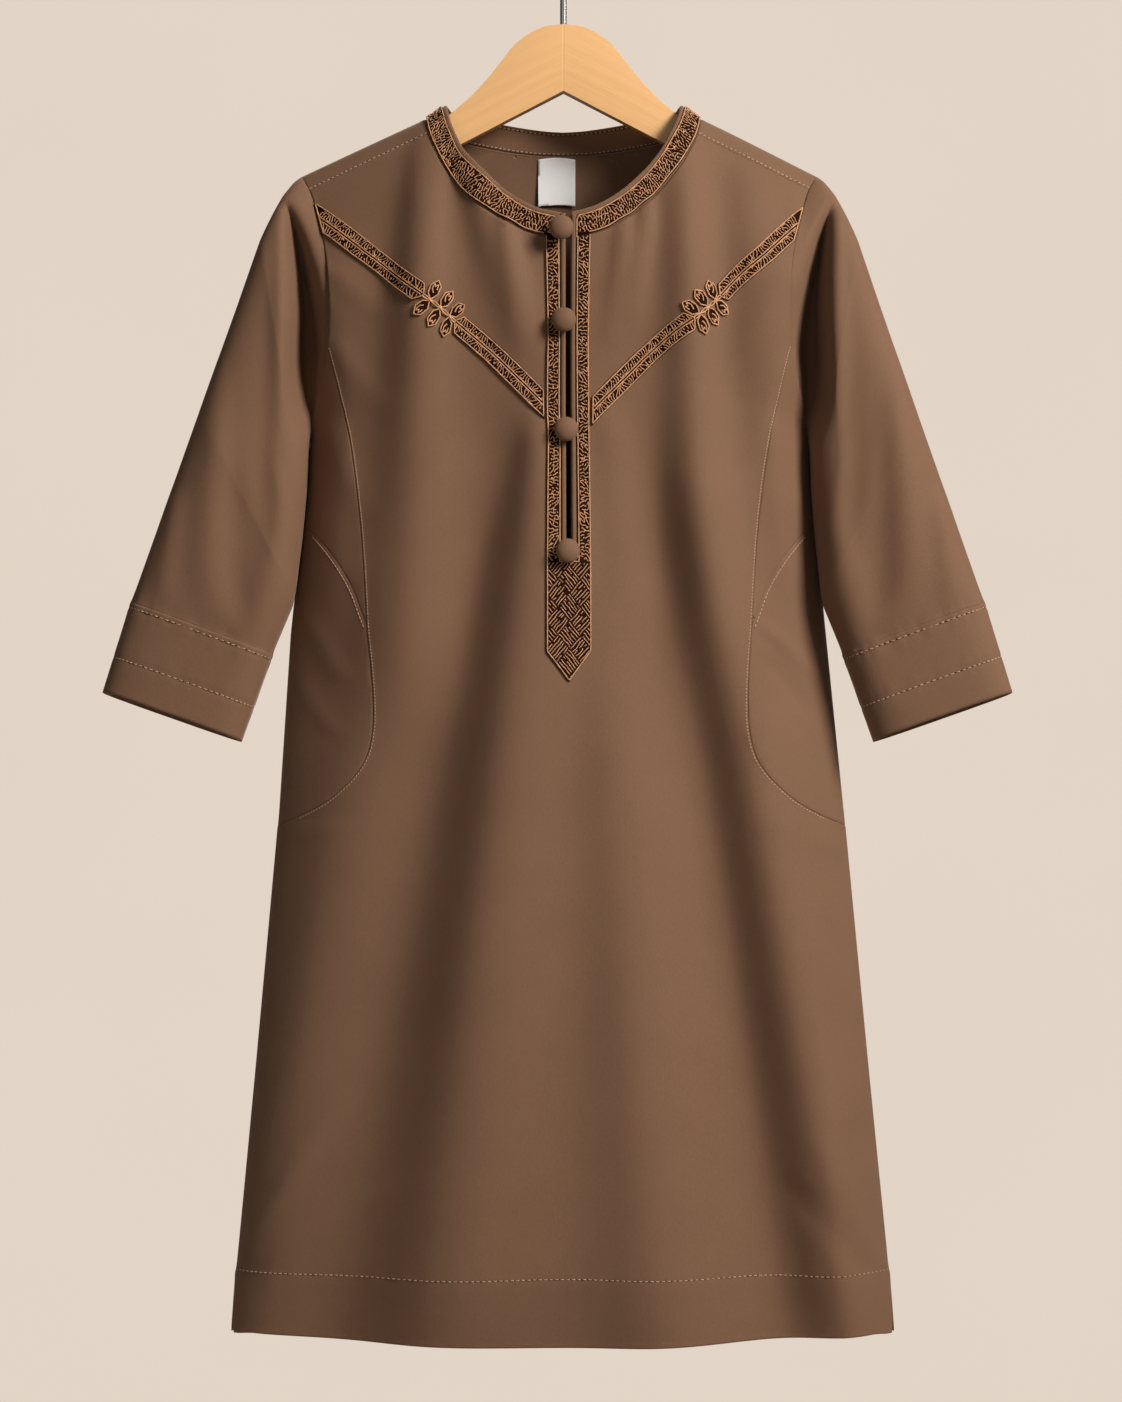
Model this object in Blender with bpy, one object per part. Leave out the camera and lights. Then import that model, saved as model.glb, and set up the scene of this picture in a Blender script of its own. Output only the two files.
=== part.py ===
"""A small child's embroidered thobe, hanging on a wooden hanger.

Metres, +Z up. The robe's front faces -Y, so the wearer's left side is at +X. The origin is
the inside top of the hanger's hook, where a rail carries it.

The cloth is drawn the way it is cut. Each piece is a flat outline on one pattern, measured
from the shoulder ridge and the centre line, and the pattern is then hung on the robe's form.
Two nets hold that form: the body, which passes over the shoulders from the front hem to the
back hem, and each sleeve, which runs from its armhole to its wrist. Pieces that meet at a seam
share the net, so their edges run side by side, and what is sewn on a piece is the same net
moved outwards.
"""

import bisect
import math

import bmesh
import bpy
import numpy as np
from mathutils import Vector
from mathutils.geometry import intersect_line_line_2d

# Thicknesses and gaps.
CLOTH = 0.0012
DOUBLE_CLOTH = 0.0019  # cuffs and hem bands, folded double
BRAID = 0.0010
BINDING = 0.0008
LABEL_THICK = 0.0006
LAYER_GAP = 0.0003
SEAM_INSET = 0.0002  # each piece stops this far short of its seam
ON_CLOTH = CLOTH + LAYER_GAP

# The body's form.
NECK_HALF = 0.0685
SHOULDER_Z = -0.1138  # the ridge beside the neck
SHOULDER_SLOPE = 0.475
RIDGE_ROUND = 0.020  # rounds the ridge line where its two slopes meet over the neck hole
HEM_Z = -0.7205
HEM_RISE = 0.0035  # the hem is this much higher at the sides
HEM_HALF = 0.166
HEM_DEEP = 0.0345  # the hem's folded band
HEM_TUCK = 0.14  # how steeply that band turns in
VENT_TALL = 0.0300
VENT_OPEN = {"front": 0.0042, "back": 0.0012}  # how far each stands back from the side seam
ARCH_DROP = 0.110  # the cloth leaves the ridge on an arch this tall
SECTION_POWER = 1.25  # 1 is an ellipse, and more pinches the sides
HALF_GIRTH = 0.158  # pattern width from the centre line to a side seam
# Height of the side seam, and the body's half width there. Above the underarm the width is
# that of the form which the armhole is cut from.
SIDE_LINE = (
    (-0.7170, 0.1648),
    (-0.5900, 0.1525),
    (-0.4580, 0.1400),
    (-0.3680, 0.1323),
    (-0.2720, 0.1246),
    (-0.2400, 0.1300),
    (-0.2000, 0.1390),
    (-0.1480, 0.1440),
)
# Height, depth of the front at the centre line, depth of the back.
DEPTHS = (
    (-0.7200, 0.0450, 0.0360),
    (-0.6000, 0.0410, 0.0340),
    (-0.4600, 0.0380, 0.0310),
    (-0.3000, 0.0370, 0.0290),
    (-0.1800, 0.0350, 0.0270),
    (-0.1100, 0.0330, 0.0260),
)
# The robe hangs a little to one side: height, shift of the side at -X, shift of that at +X.
LEANS = (
    (-0.1130, 0.0000, 0.0000),
    (-0.1450, 0.0000, -0.0046),
    (-0.2700, 0.0000, -0.0042),
    (-0.3700, -0.0026, -0.0026),
    (-0.4600, -0.0010, -0.0010),
    (-0.7200, -0.0004, -0.0004),
)
LEAN_REACH = 0.125  # the shift is whole this far from the centre line
# Soft folds: where each starts and ends, how far it reaches to either side there, and how far
# it stands out there. A trough stands out by less than nothing.
FOLD_COLUMNS = ("x0", "z0", "x1", "z1", "left0", "right0", "left1", "right1", "rise0", "rise1")
FRONT_FOLDS = (
    (-0.116, -0.170, -0.116, -0.360, 0.014, 0.024, 0.014, 0.024, 0.0060, 0.0045),
    (0.116, -0.170, 0.116, -0.360, 0.024, 0.014, 0.024, 0.014, 0.0045, 0.0030),
    (-0.069, -0.115, -0.078, -0.400, 0.006, 0.011, 0.026, 0.024, 0.0080, 0.0085),
    (0.062, -0.115, 0.070, -0.400, 0.010, 0.009, 0.020, 0.020, 0.0082, 0.0070),
    (0.095, -0.125, 0.106, -0.300, 0.009, 0.013, 0.014, 0.018, 0.0066, 0.0020),
    (-0.012, -0.290, -0.070, -0.760, 0.015, 0.026, 0.034, 0.044, 0.0086, 0.0154),
    (-0.033, -0.290, -0.119, -0.760, 0.020, 0.015, 0.034, 0.036, -0.0060, -0.0070),
    (0.022, -0.380, 0.050, -0.760, 0.014, 0.018, 0.030, 0.034, 0.0026, 0.0104),
    (0.069, -0.290, 0.1545, -0.760, 0.016, 0.022, 0.027, 0.030, 0.0072, 0.0184),
    (0.046, -0.290, 0.1165, -0.760, 0.020, 0.016, 0.034, 0.027, -0.0060, -0.0126),
    (-0.094, -0.400, -0.178, -0.760, 0.018, 0.020, 0.022, 0.026, 0.0056, 0.0080),
)
BACK_FOLDS = (
    (-0.070, -0.200, -0.112, -0.760, 0.016, 0.026, 0.022, 0.034, 0.0036, 0.0090),
    (-0.036, -0.260, -0.060, -0.760, 0.016, 0.016, 0.024, 0.024, -0.0034, -0.0070),
    (-0.006, -0.220, -0.013, -0.760, 0.020, 0.014, 0.026, 0.020, 0.0036, 0.0090),
    (0.030, -0.300, 0.043, -0.760, 0.016, 0.016, 0.022, 0.022, -0.0030, -0.0066),
    (0.062, -0.210, 0.097, -0.760, 0.022, 0.016, 0.030, 0.022, 0.0036, 0.0088),
)
FOLD_FADE = 0.30  # the share of a fold's length over which it comes and goes
SIDE_FADE = 2.2  # how soon the folds are whole, going in from a side seam

# Seam lines on the body, in the front view, for the side at +X: (x, z).
NECK_FRONT = (
    (0.0000, -0.1761),
    (0.0158, -0.1732),
    (0.0266, -0.1689),
    (0.0369, -0.1626),
    (0.0453, -0.1558),
    (0.0525, -0.1485),
    (0.0592, -0.1399),
    (0.0640, -0.1302),
    (0.0668, -0.1225),
    (0.0685, -0.1138),
)
NECK_BACK = (
    (0.0685, -0.1138),
    (0.0640, -0.1190),
    (0.0550, -0.1222),
    (0.0420, -0.1248),
    (0.0270, -0.1272),
    (0.0130, -0.1286),
    (0.0000, -0.1290),
)
SHOULDER_SEAM = ((0.0668, -0.1225), (0.1262, -0.1494))
ARMHOLE_FRONT = (
    (0.1308, -0.1424),
    (0.1262, -0.1494),
    (0.1220, -0.1627),
    (0.1189, -0.1751),
    (0.1168, -0.1890),
    (0.1158, -0.2015),
    (0.1155, -0.2150),
    (0.1164, -0.2285),
    (0.1190, -0.2400),
    (0.1220, -0.2540),
    (0.1246, -0.2720),
)
ARMHOLE_BACK = (
    (0.1308, -0.1424),
    (0.1255, -0.1580),
    (0.1222, -0.1760),
    (0.1205, -0.1960),
    (0.1203, -0.2160),
    (0.1214, -0.2380),
    (0.1232, -0.2560),
    (0.1246, -0.2720),
)
UNDERARM_Z = -0.2720
ARMHOLE_LAST_Z = UNDERARM_Z + 0.004  # the armhole's last point above the side seam
# The long seam from the armhole down the front and round the pocket to the side seam.
FRONT_SEAM = (
    (0.1164, -0.2285),
    (0.1125, -0.2431),
    (0.1063, -0.2699),
    (0.1020, -0.2940),
    (0.0986, -0.3184),
    (0.0963, -0.3424),
    (0.0945, -0.3660),
    (0.0928, -0.3858),
    (0.0920, -0.4030),
    (0.0927, -0.4183),
    (0.0959, -0.4311),
    (0.1031, -0.4420),
    (0.1160, -0.4535),
    (0.1302, -0.4613),
)
FRONT_SEAM_FOOT_Z = -0.4660  # where it reaches the side seam
POCKET_MOUTH = (
    (0.1217, -0.3203),
    (0.1142, -0.3289),
    (0.1080, -0.3375),
    (0.1017, -0.3482),
    (0.0969, -0.3601),
    (0.0945, -0.3660),
)
POCKET_MOUTH_SIDE_Z = -0.3145

# The front opening and what is sewn round it.
OPENING_X = 0.0023
OPENING_HALF = 0.0013
OPENING_FOOT_Z = -0.3290
BINDING_WIDE = 0.0025
PLACKET_BRAID_WIDE = 0.0072
PLACKET_TOP_Z = -0.1768
PLACKET_PANEL_Z = -0.3375  # the two braids become one panel
PLACKET_CORNER_Z = -0.3795
PLACKET_TIP_Z = -0.3945
NECK_BAND_WIDE = 0.0118
NECK_BRAID_WIDE = 0.0094
NECK_BRAID_MARGIN = 0.0004  # of the band, outside the braid
NECK_BAND_STAND = 0.0018  # its free edge stands this far off the form

# The middle line of each chest braid in the front view: at the armhole, at the two points
# beside the knot, and at the opening's braid.
CHEST_LINES = {
    "left": ((0.1186, -0.1650), (0.0759, -0.2047), (0.0645, -0.2150), (0.0138, -0.2612)),
    "right": ((-0.1223, -0.1628), (-0.0683, -0.2047), (-0.0545, -0.2163), (-0.0094, -0.2583)),
}
CHEST_BRAID_WIDE = 0.0100
CHEST_BRAID_BACK = 0.0007  # it stops this far short of the armhole
CHEST_BRAID_POINT = 0.0042  # how long its point is
KNOT_STEM = 0.0012
KNOT_LEAF = 0.0074  # how far its leaves stand out past the stem
KNOT_PAIRS = 3

BUTTON_RADIUS = 0.0060
BUTTON_FLATNESS = 0.62
BUTTONS = ((-0.0010, -0.1722), (-0.0001, -0.2166), (0.0003, -0.2710), (0.0005, -0.3302))

LABEL_X = -0.0034
LABEL_WIDE = 0.0190
LABEL_TALL = 0.0236
LABEL_TOP_Z = -0.1302

# Sleeve lines in the front view, for the side at +X: share of the way from the armhole to the
# wrist, the outer edge (x, z) and the inner edge (x, z).
SLEEVE_LINES = (
    (0.00, 0.1312, -0.1434, 0.1279, -0.2720),
    (0.04, 0.1375, -0.1478, 0.1284, -0.2770),
    (0.08, 0.1420, -0.1550, 0.1290, -0.2850),
    (0.16, 0.1500, -0.1745, 0.1297, -0.3000),
    (0.30, 0.1617, -0.2085, 0.1314, -0.3220),
    (0.50, 0.1802, -0.2610, 0.1343, -0.3490),
    (0.56, 0.1866, -0.2789, 0.1357, -0.3560),
    (0.815, 0.2137, -0.3550, 0.1458, -0.3800),
    (1.00, 0.2276, -0.3998, 0.1613, -0.4232),
)
# The sleeve at +X hangs nearer to the body: share of its length, how much nearer.
LEFT_SLEEVE_IN = ((0.0, 0.0041), (0.16, 0.0046), (0.5, 0.0054), (0.8, 0.0058), (1.0, 0.0060))
SLEEVE_DEPTH = ((0.00, 0.0200), (0.16, 0.0205), (0.50, 0.0185), (1.00, 0.0145))
SLEEVE_FORWARD = ((0.00, 0.0), (0.16, -0.0060), (0.50, -0.0120), (1.00, -0.0140))
SLEEVE_POWER = {"outer": 3.4, "inner": 2.0}  # 2 is an ellipse, and more a sharper fold
SLEEVE_EVEN = 0.35  # share of the net's even spacing round a sleeve
SLEEVE_DOWN = (0.33, 0.0, -0.94)
SLEEVE_LEAN = 0.008  # the back of the wrist hangs lower than its front
ARMHOLE_REACH = 0.16  # over this share of its length the sleeve takes its own form
UNDERARM_CLEAR = 0.0029  # the sleeve passes outside the body's wall here
UNDERARM_FROM, UNDERARM_OVER = 0.55, 0.30  # shares of the half girth
# The deep fold beside the armhole: height, distance of its middle from the centre line, half
# width, and the share of the way to the sleeve's back that it goes in.
VALLEY = (
    (-0.1550, 0.1385, 0.0022, 0.00),
    (-0.1640, 0.1355, 0.0030, 0.22),
    (-0.1750, 0.1330, 0.0040, 0.45),
    (-0.1900, 0.1303, 0.0050, 0.58),
    (-0.2050, 0.1288, 0.0056, 0.62),
    (-0.2300, 0.1276, 0.0054, 0.60),
    (-0.2550, 0.1272, 0.0046, 0.42),
    (-0.2750, 0.1275, 0.0036, 0.00),
)
VALLEY_START = 0.02  # it begins over this share of the sleeve's length
BACK_VALLEY = 0.16  # the same fold on the back, as a share of the front's
# The soft ridge outside that fold: height, distance from the centre line, half width, and how
# far it stands out.
RIDGE = (
    (-0.1550, 0.1390, 0.0030, 0.0000),
    (-0.1750, 0.1380, 0.0048, 0.0024),
    (-0.2100, 0.1380, 0.0058, 0.0044),
    (-0.2600, 0.1382, 0.0070, 0.0050),
    (-0.3200, 0.1398, 0.0090, 0.0048),
    (-0.3700, 0.1475, 0.0110, 0.0028),
    (-0.4100, 0.1640, 0.0120, 0.0008),
)
CUFF_SEAM = 0.815  # share of the sleeve's length
SLEEVE_RUN = 0.2700  # pattern length of a sleeve
SLEEVE_HALF = 0.0750  # pattern width from its outer fold to its seam

# The hanger, in the front view, for the side at +X.
WOOD_TOP = (
    (0.0000, -0.0659),
    (0.0095, -0.0672),
    (0.0165, -0.0703),
    (0.0245, -0.0763),
    (0.0315, -0.0850),
    (0.0385, -0.0937),
    (0.0459, -0.1015),
    (0.0516, -0.1065),
    (0.0563, -0.1104),
    (0.0640, -0.1152),
    (0.0720, -0.1192),
    (0.0900, -0.1282),
    (0.1120, -0.1396),
)
WOOD_END = ((0.1160, -0.1435), (0.1172, -0.1490), (0.1150, -0.1545))
WOOD_UNDER = ((0.1080, -0.1530), (0.0720, -0.1358), (0.0522, -0.1262), (0.0000, -0.0992))
WOOD_HALF_THICK = 0.0060
WOOD_END_THIN = 0.32  # an arm's end is this share thinner than the middle
WOOD_THIN_REACH = 0.085
WOOD_EDGE = 0.0016
WOOD_CUTS = 9  # cuts across the plank, evenly out to WOOD_CUT_REACH
WOOD_CUT_REACH = 0.105
WOOD_TOP_STEP, WOOD_UNDER_STEP = 0.014, 0.030
WIRE_RADIUS = 0.0017
HOOK_RADIUS = 0.0180
HOOK_FOOT_Z = -0.0800  # inside the wood
BORE_LONG = 0.0400
HOOK_NECK_Z = -0.0460  # the shank is straight up to here
HOOK_PULL = 0.0065  # the bend's roundness
HOOK_SIDES = 10
BEND_STEPS, HOOK_STEPS = 7, 26
HOOK_START = math.radians(-58)
HOOK_END = math.radians(196)
WIRE_HOLE_CLEAR = 0.0004

# How fine the nets are.
BODY_COLUMNS = 28
FIRST_ROW = 0.0065  # rows of the body's net, from the shoulder ridge down
ROW_GROWTH = 1.25
LARGEST_ROW = 0.0440
LAST_ROW = 0.0360
FOLD_ROW = 0.0004  # a row this far on each side of the hem's fold
SLEEVE_COLUMNS_ROUND = 22
SLEEVE_RINGS = (
    0.0, 0.014, 0.028, 0.042, 0.056, 0.072, 0.09, 0.12, 0.18, 0.26, 0.36, 0.48, 0.60, 0.72,
    CUFF_SEAM, 0.88, 0.94, 1.0,
)
CURVE_STEP = 0.011
NEAREST = 0.0004  # points of an outline are no nearer than this

COLOURS = {
    "cloth": ((0.165, 0.094, 0.058), 0.75, 0.0),
    "braid": ((0.250, 0.125, 0.055), 0.55, 0.0),
    "button": ((0.190, 0.115, 0.075), 0.75, 0.0),
    "label": ((0.800, 0.800, 0.790), 0.6, 0.0),
    "wood": ((0.680, 0.390, 0.160), 0.45, 0.0),
    "wire": ((0.620, 0.610, 0.590), 0.25, 1.0),
}


# --- small tools -------------------------------------------------------------------------


def column(table, place, key=0, value=1):
    """Reads a table of rows by straight lines between them, whichever way its keys run."""
    rows = sorted(table)
    return float(np.interp(place, [row[key] for row in rows], [row[value] for row in rows]))


def smooth(share):
    """0 below 0, 1 above 1, and an even S between."""
    share = min(max(share, 0.0), 1.0)
    return share * share * (3 - 2 * share)


def curve(points, step=CURVE_STEP):
    """A smooth line through the points, with a point about every step."""
    points = [Vector(p) for p in points]
    ends = [2 * points[0] - points[1], *points, 2 * points[-1] - points[-2]]
    line = []
    for before, start, end, after in zip(ends, ends[1:], ends[2:], ends[3:]):
        count = max(1, round((end - start).length / step))
        for k in range(count):
            t = k / count
            line.append(
                0.5
                * (
                    2 * start
                    + (end - before) * t
                    + (2 * before - 5 * start + 4 * end - after) * t**2
                    + (3 * start - before - 3 * end + after) * t**3
                )
            )
    return [*line, points[-1]]


def part_between(points, first_z, last_z):
    """The stretch of a line of (x, z) points that lies between two heights."""
    low, high = min(first_z, last_z), max(first_z, last_z)
    return [p for p in points if low - 1e-6 <= p[1] <= high + 1e-6]


def inset(outline, distance):
    """A closed outline moved inwards by distance."""
    area = sum(a.x * b.y - b.x * a.y for a, b in zip(outline, outline[1:] + outline[:1]))
    turn = 1 if area > 0 else -1
    moved = []
    for before, here, after in zip(outline[-1:] + outline[:-1], outline, outline[1:] + outline[:1]):
        first, second = (here - before).normalized(), (after - here).normalized()
        sides = [turn * Vector((-d.y, d.x)) for d in (first, second)]
        middle = sides[0] + sides[1]
        moved.append(here + middle * (distance / max(1 + sides[0].dot(sides[1]), 0.3)))
    return moved


def without_doubles(outline):
    """The outline without points that almost repeat the one before."""
    kept = []
    for point in outline:
        if not kept or (point - kept[-1]).length > NEAREST:
            kept.append(point)
    if (kept[0] - kept[-1]).length < NEAREST:
        kept.pop()
    return kept


# --- the body's form ---------------------------------------------------------------------


def shoulder_z(x):
    """Height of the ridge over the shoulders, carried on across the neck hole."""
    reach = math.hypot(x, RIDGE_ROUND) - math.hypot(NECK_HALF, RIDGE_ROUND)
    return SHOULDER_Z - SHOULDER_SLOPE * reach


def hem_z(x):
    return HEM_Z + HEM_RISE * (x / HEM_HALF) ** 2


def leaning(x, z):
    """How far the cloth at a place in the front view hangs to one side."""
    shift = column(LEANS, z, value=2 if x > 0 else 1)
    return shift * smooth(abs(x) / LEAN_REACH)


def arch(fall):
    """Share of its full depth that the cloth has, this far below the ridge."""
    return math.sqrt(1 - (1 - min(max(fall / ARCH_DROP, 0.0), 1.0)) ** 2)


def section_table(steps=240):
    """Round a half section, at each share of its cloth: how far across, and how deep."""
    angle = np.linspace(0, math.pi / 2, steps)
    across, deep = np.sin(angle), np.cos(angle).clip(0) ** SECTION_POWER
    usual_ratio = DEPTHS[3][1] / SIDE_LINE[3][1]
    run = np.cumsum(np.hypot(np.diff(across), usual_ratio * np.diff(deep)))
    return np.concatenate([[0], run / run[-1]]), across, deep


def drop_table(steps=600):
    """Down from the ridge, at each share of the drop to the hem: the cloth's run."""
    share = np.linspace(0, 1, steps)
    length = SHOULDER_Z - HEM_Z
    deep = np.array([arch(s * length) for s in share]) * DEPTHS[4][1]
    run = np.cumsum(np.hypot(np.diff(share * length), np.diff(deep)))
    return share, np.concatenate([[0], run])


SECTION_SHARE, SECTION_ACROSS, SECTION_DEEP = section_table()
DROP_SHARE, DROP_RUN = drop_table()
BODY_RUN = float(DROP_RUN[-1])


def half_width(drop):
    """Half width of the form at a share of the drop from the ridge to the hem."""
    top, foot = SIDE_LINE[-1][0], SIDE_LINE[0][0]
    return column(SIDE_LINE, top + drop * (foot - top))


def folds_at(folds, x, z):
    """How far the folds push the cloth out at a place in the front view."""
    total = 0.0
    for row in folds:
        fold = dict(zip(FOLD_COLUMNS, row))
        along = (fold["z0"] - z) / (fold["z0"] - fold["z1"])
        shown = smooth(along / FOLD_FADE + 0.5) * smooth((1 - along) / FOLD_FADE + 0.5)
        along = min(max(along, 0.0), 1.0)
        middle, left, right, rise = (
            fold[name + "0"] + along * (fold[name + "1"] - fold[name + "0"])
            for name in ("x", "left", "right", "rise")
        )
        wide = left if x < middle else right
        total += shown * rise * math.exp(-(((x - middle) / wide) ** 2))
    return total


def body(u, v):
    """The inner face of the cloth at a place on the body's pattern.

    u is the distance from the centre line and v from the shoulder ridge, below 0 in front.
    Past a side seam the pattern runs on round the body.
    """
    share, behind = abs(u) / HALF_GIRTH, v > 0
    if share > 1:
        share, behind = 2 - share, not behind
    drop = float(np.interp(abs(v), DROP_RUN, DROP_SHARE))
    across = float(np.interp(share, SECTION_SHARE, SECTION_ACROSS))
    deep = float(np.interp(share, SECTION_SHARE, SECTION_DEEP))
    x = math.copysign(half_width(drop) * across, u)
    top = shoulder_z(x)
    z = top - drop * (top - hem_z(x))
    arched = arch(top - z)
    tuck = HEM_TUCK * max(hem_z(x) + HEM_DEEP - z, 0.0)
    depth = (column(DEPTHS, z, value=2 if behind else 1) - tuck) * deep * arched
    folded = folds_at(BACK_FOLDS if behind else FRONT_FOLDS, x, z)
    depth += folded * arched * min(1.0, SIDE_FADE * deep)
    return Vector((x + leaning(x, z), depth if behind else -depth, z))


def on_pattern(x, z, behind=False):
    """The place on the pattern that shows at (x, z) in the front view of a level robe."""
    top = shoulder_z(x)
    drop = max((top - z) / (top - hem_z(x)), 0.0)
    across = min(abs(x) / half_width(drop), 1.0)
    u = float(np.interp(across, SECTION_ACROSS, SECTION_SHARE)) * HALF_GIRTH
    v = float(np.interp(drop, DROP_SHARE, DROP_RUN))
    return Vector((math.copysign(u, x), v if behind else -v))


def on_cloth(x, z):
    """The place on the front's pattern that shows at (x, z) as the robe really hangs."""
    return on_pattern(x - leaning(x, z), z)


def side_at(z, side, behind=False):
    """The place on a side seam at a height."""
    top = shoulder_z(column(SIDE_LINE, z))
    drop = (top - z) / (top - hem_z(column(SIDE_LINE, z)))
    v = float(np.interp(drop, DROP_SHARE, DROP_RUN))
    return Vector((side * HALF_GIRTH, v if behind else -v))


def outward(surface, u, v, step=0.0025):
    """The direction out of the cloth, from the surface on both sides of a place."""
    across = surface(u + step, v) - surface(u - step, v)
    along = surface(u, v + step) - surface(u, v - step)
    return across.cross(along).normalized()


# --- nets and pieces -----------------------------------------------------------------------


class Net:
    """A form as points and outward directions at the crossings of its pattern's lines.

    Each cell is two triangles, and everything laid on the net is cut along them, so pieces at
    different heights never cross.
    """

    def __init__(self, us, vs, points, directions):
        self.us, self.vs = [float(u) for u in us], [float(v) for v in vs]
        self.points, self.directions = points, directions

    def cell(self, u, v):
        """The cell a place is in, and the shares of the way across and along it."""
        i = min(max(bisect.bisect_right(self.us, u) - 1, 0), len(self.us) - 2)
        j = min(max(bisect.bisect_right(self.vs, v) - 1, 0), len(self.vs) - 2)
        s = (u - self.us[i]) / (self.us[i + 1] - self.us[i])
        t = (v - self.vs[j]) / (self.vs[j + 1] - self.vs[j])
        return i, j, s, t

    def at(self, u, v, lift=0.0):
        """The point over a pattern place, lifted off the form's inner face."""
        i, j, s, t = self.cell(u, v)
        if s > t:
            shares = ((1 - s, i, j), (s - t, i + 1, j), (t, i + 1, j + 1))
        else:
            shares = ((1 - t, i, j), (t - s, i, j + 1), (s, i + 1, j + 1))
        place = Vector((0, 0, 0))
        for share, k, m in shares:
            place += share * (self.points[k][m] + lift * self.directions[k][m])
        return place

    def direction(self, u, v):
        return (self.at(u, v, 1.0) - self.at(u, v, 0.0)).normalized()


def body_net():
    """Even columns, and rows that are close over the shoulder and wider down the skirt."""
    rows, step = [0.0], FIRST_ROW
    fold = BODY_RUN - HEM_DEEP
    while rows[-1] < fold - LAST_ROW:
        rows.append(rows[-1] + step)
        step = min(step * ROW_GROWTH, LARGEST_ROW)
    middle = (rows[-1] + fold) / 2
    rows += [middle, fold - FOLD_ROW, fold + FOLD_ROW, BODY_RUN - HEM_DEEP / 2, BODY_RUN]
    us = np.linspace(-HALF_GIRTH, HALF_GIRTH, BODY_COLUMNS + 1)
    vs = [-v for v in reversed(rows[1:])] + rows
    points = [[body(u, v) for v in vs] for u in us]
    directions = [[outward(body, u, v) for v in vs] for u in us]
    return Net(us, vs, points, directions)


def new_object(name, mesh_builder, finish):
    """An object from a bmesh, facing outwards and smooth but for its sharp edges."""
    bmesh.ops.recalc_face_normals(mesh_builder, faces=mesh_builder.faces)
    if mesh_builder.calc_volume(signed=True) < 0:
        bmesh.ops.reverse_faces(mesh_builder, faces=mesh_builder.faces)
    mesh = bpy.data.meshes.new(name)
    mesh_builder.to_mesh(mesh)
    mesh_builder.free()
    mesh.shade_smooth()
    mesh.set_sharp_from_angle(angle=math.radians(40))
    mesh.materials.append(material(finish))
    made = bpy.data.objects.new(name, mesh)
    bpy.context.scene.collection.objects.link(made)
    return made


def material(finish):
    """The plain material of a finish, made once."""
    found = bpy.data.materials.get(finish)
    if found:
        return found
    colour, rough, metal = COLOURS[finish]
    made = bpy.data.materials.new(finish)
    made.use_nodes = True
    shader = made.node_tree.nodes["Principled BSDF"]
    shader.inputs["Base Color"].default_value = (*colour, 1)
    shader.inputs["Roughness"].default_value = rough
    shader.inputs["Metallic"].default_value = metal
    made.diffuse_color = (*colour, 1)
    return made


def cut_flat(outline, net):
    """The outline as a flat sheet, cut along the net's lines and then its diagonals."""
    flat = bmesh.new()
    flat.faces.new([flat.verts.new((p.x, p.y, 0)) for p in outline])
    lines = [((u, 0, 0), (1, 0, 0)) for u in net.us[1:-1]]
    lines += [((0, v, 0), (0, 1, 0)) for v in net.vs[1:-1]]
    for place, across in lines:
        everything = [*flat.verts, *flat.edges, *flat.faces]
        bmesh.ops.bisect_plane(flat, geom=everything, dist=2e-5, plane_co=place, plane_no=across)
    for face in list(flat.faces):
        middle = face.calc_center_median()
        i, j, _, _ = net.cell(middle.x, middle.y)
        corner = Vector((net.us[i], net.vs[j], 0))
        far = Vector((net.us[i + 1], net.vs[j + 1], 0))
        slant = Vector((corner.y - far.y, far.x - corner.x, 0)).normalized()
        geometry = [*face.verts, *face.edges, face]
        bmesh.ops.bisect_plane(flat, geom=geometry, dist=2e-5, plane_co=corner, plane_no=slant)
    return flat


def cloth_piece(name, net, outline, finish, lift=0.0, thick=CLOTH):
    """Hangs a flat outline on the net and gives it its thickness, outwards.

    lift is the height of its inner side off the form. It and thick are each a length, or a
    function of the place on the pattern.
    """
    lift_at = lift if callable(lift) else (lambda u, v: lift)
    thick_at = thick if callable(thick) else (lambda u, v: thick)
    sheet = cut_flat(without_doubles(inset(without_doubles(outline), SEAM_INSET)), net)
    inner = list(sheet.verts)
    flat = [(vert.co.x, vert.co.y) for vert in inner]
    rim = [edge for edge in sheet.edges if edge.is_boundary]
    copied = bmesh.ops.duplicate(sheet, geom=[*sheet.verts, *sheet.edges, *sheet.faces])
    copy_of = copied["vert_map"]
    for edge in rim:
        first, second = edge.verts
        sheet.faces.new((first, second, copy_of[second], copy_of[first]))
    for vert, (u, v) in zip(inner, flat):
        copy_of[vert].co = net.at(u, v, lift_at(u, v) + thick_at(u, v))
        vert.co = net.at(u, v, lift_at(u, v))
    return new_object(name, sheet, finish)


# --- the body's pieces ---------------------------------------------------------------------


def flat_line(points, side=1, behind=False):
    """A front view line laid on the body's pattern, on the side at +X or at -X."""
    return [on_pattern(side * x, z, behind) for x, z in points]


def beside(line, distance):
    """An open line moved to its left by distance."""
    moved = []
    for k, here in enumerate(line):
        before, after = line[max(k - 1, 0)], line[min(k + 1, len(line) - 1)]
        way = (after - before).normalized()
        moved.append(here + Vector((-way.y, way.x)) * distance)
    return moved


def neck_line(side):
    """Half the neckline, from the centre of the front over the shoulder to the back."""
    return flat_line(curve(NECK_FRONT), side) + flat_line(curve(NECK_BACK)[1:], side, True)


def neck_distance(u, v, lines):
    """How far a place on the pattern is from the neckline."""
    here = Vector((u, v))
    nearest = 1.0
    for line in lines:
        for start, end in zip(line, line[1:]):
            way = end - start
            along = min(max((here - start).dot(way) / max(way.length_squared, 1e-12), 0), 1)
            nearest = min(nearest, (here - start - way * along).length)
    return nearest


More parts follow.
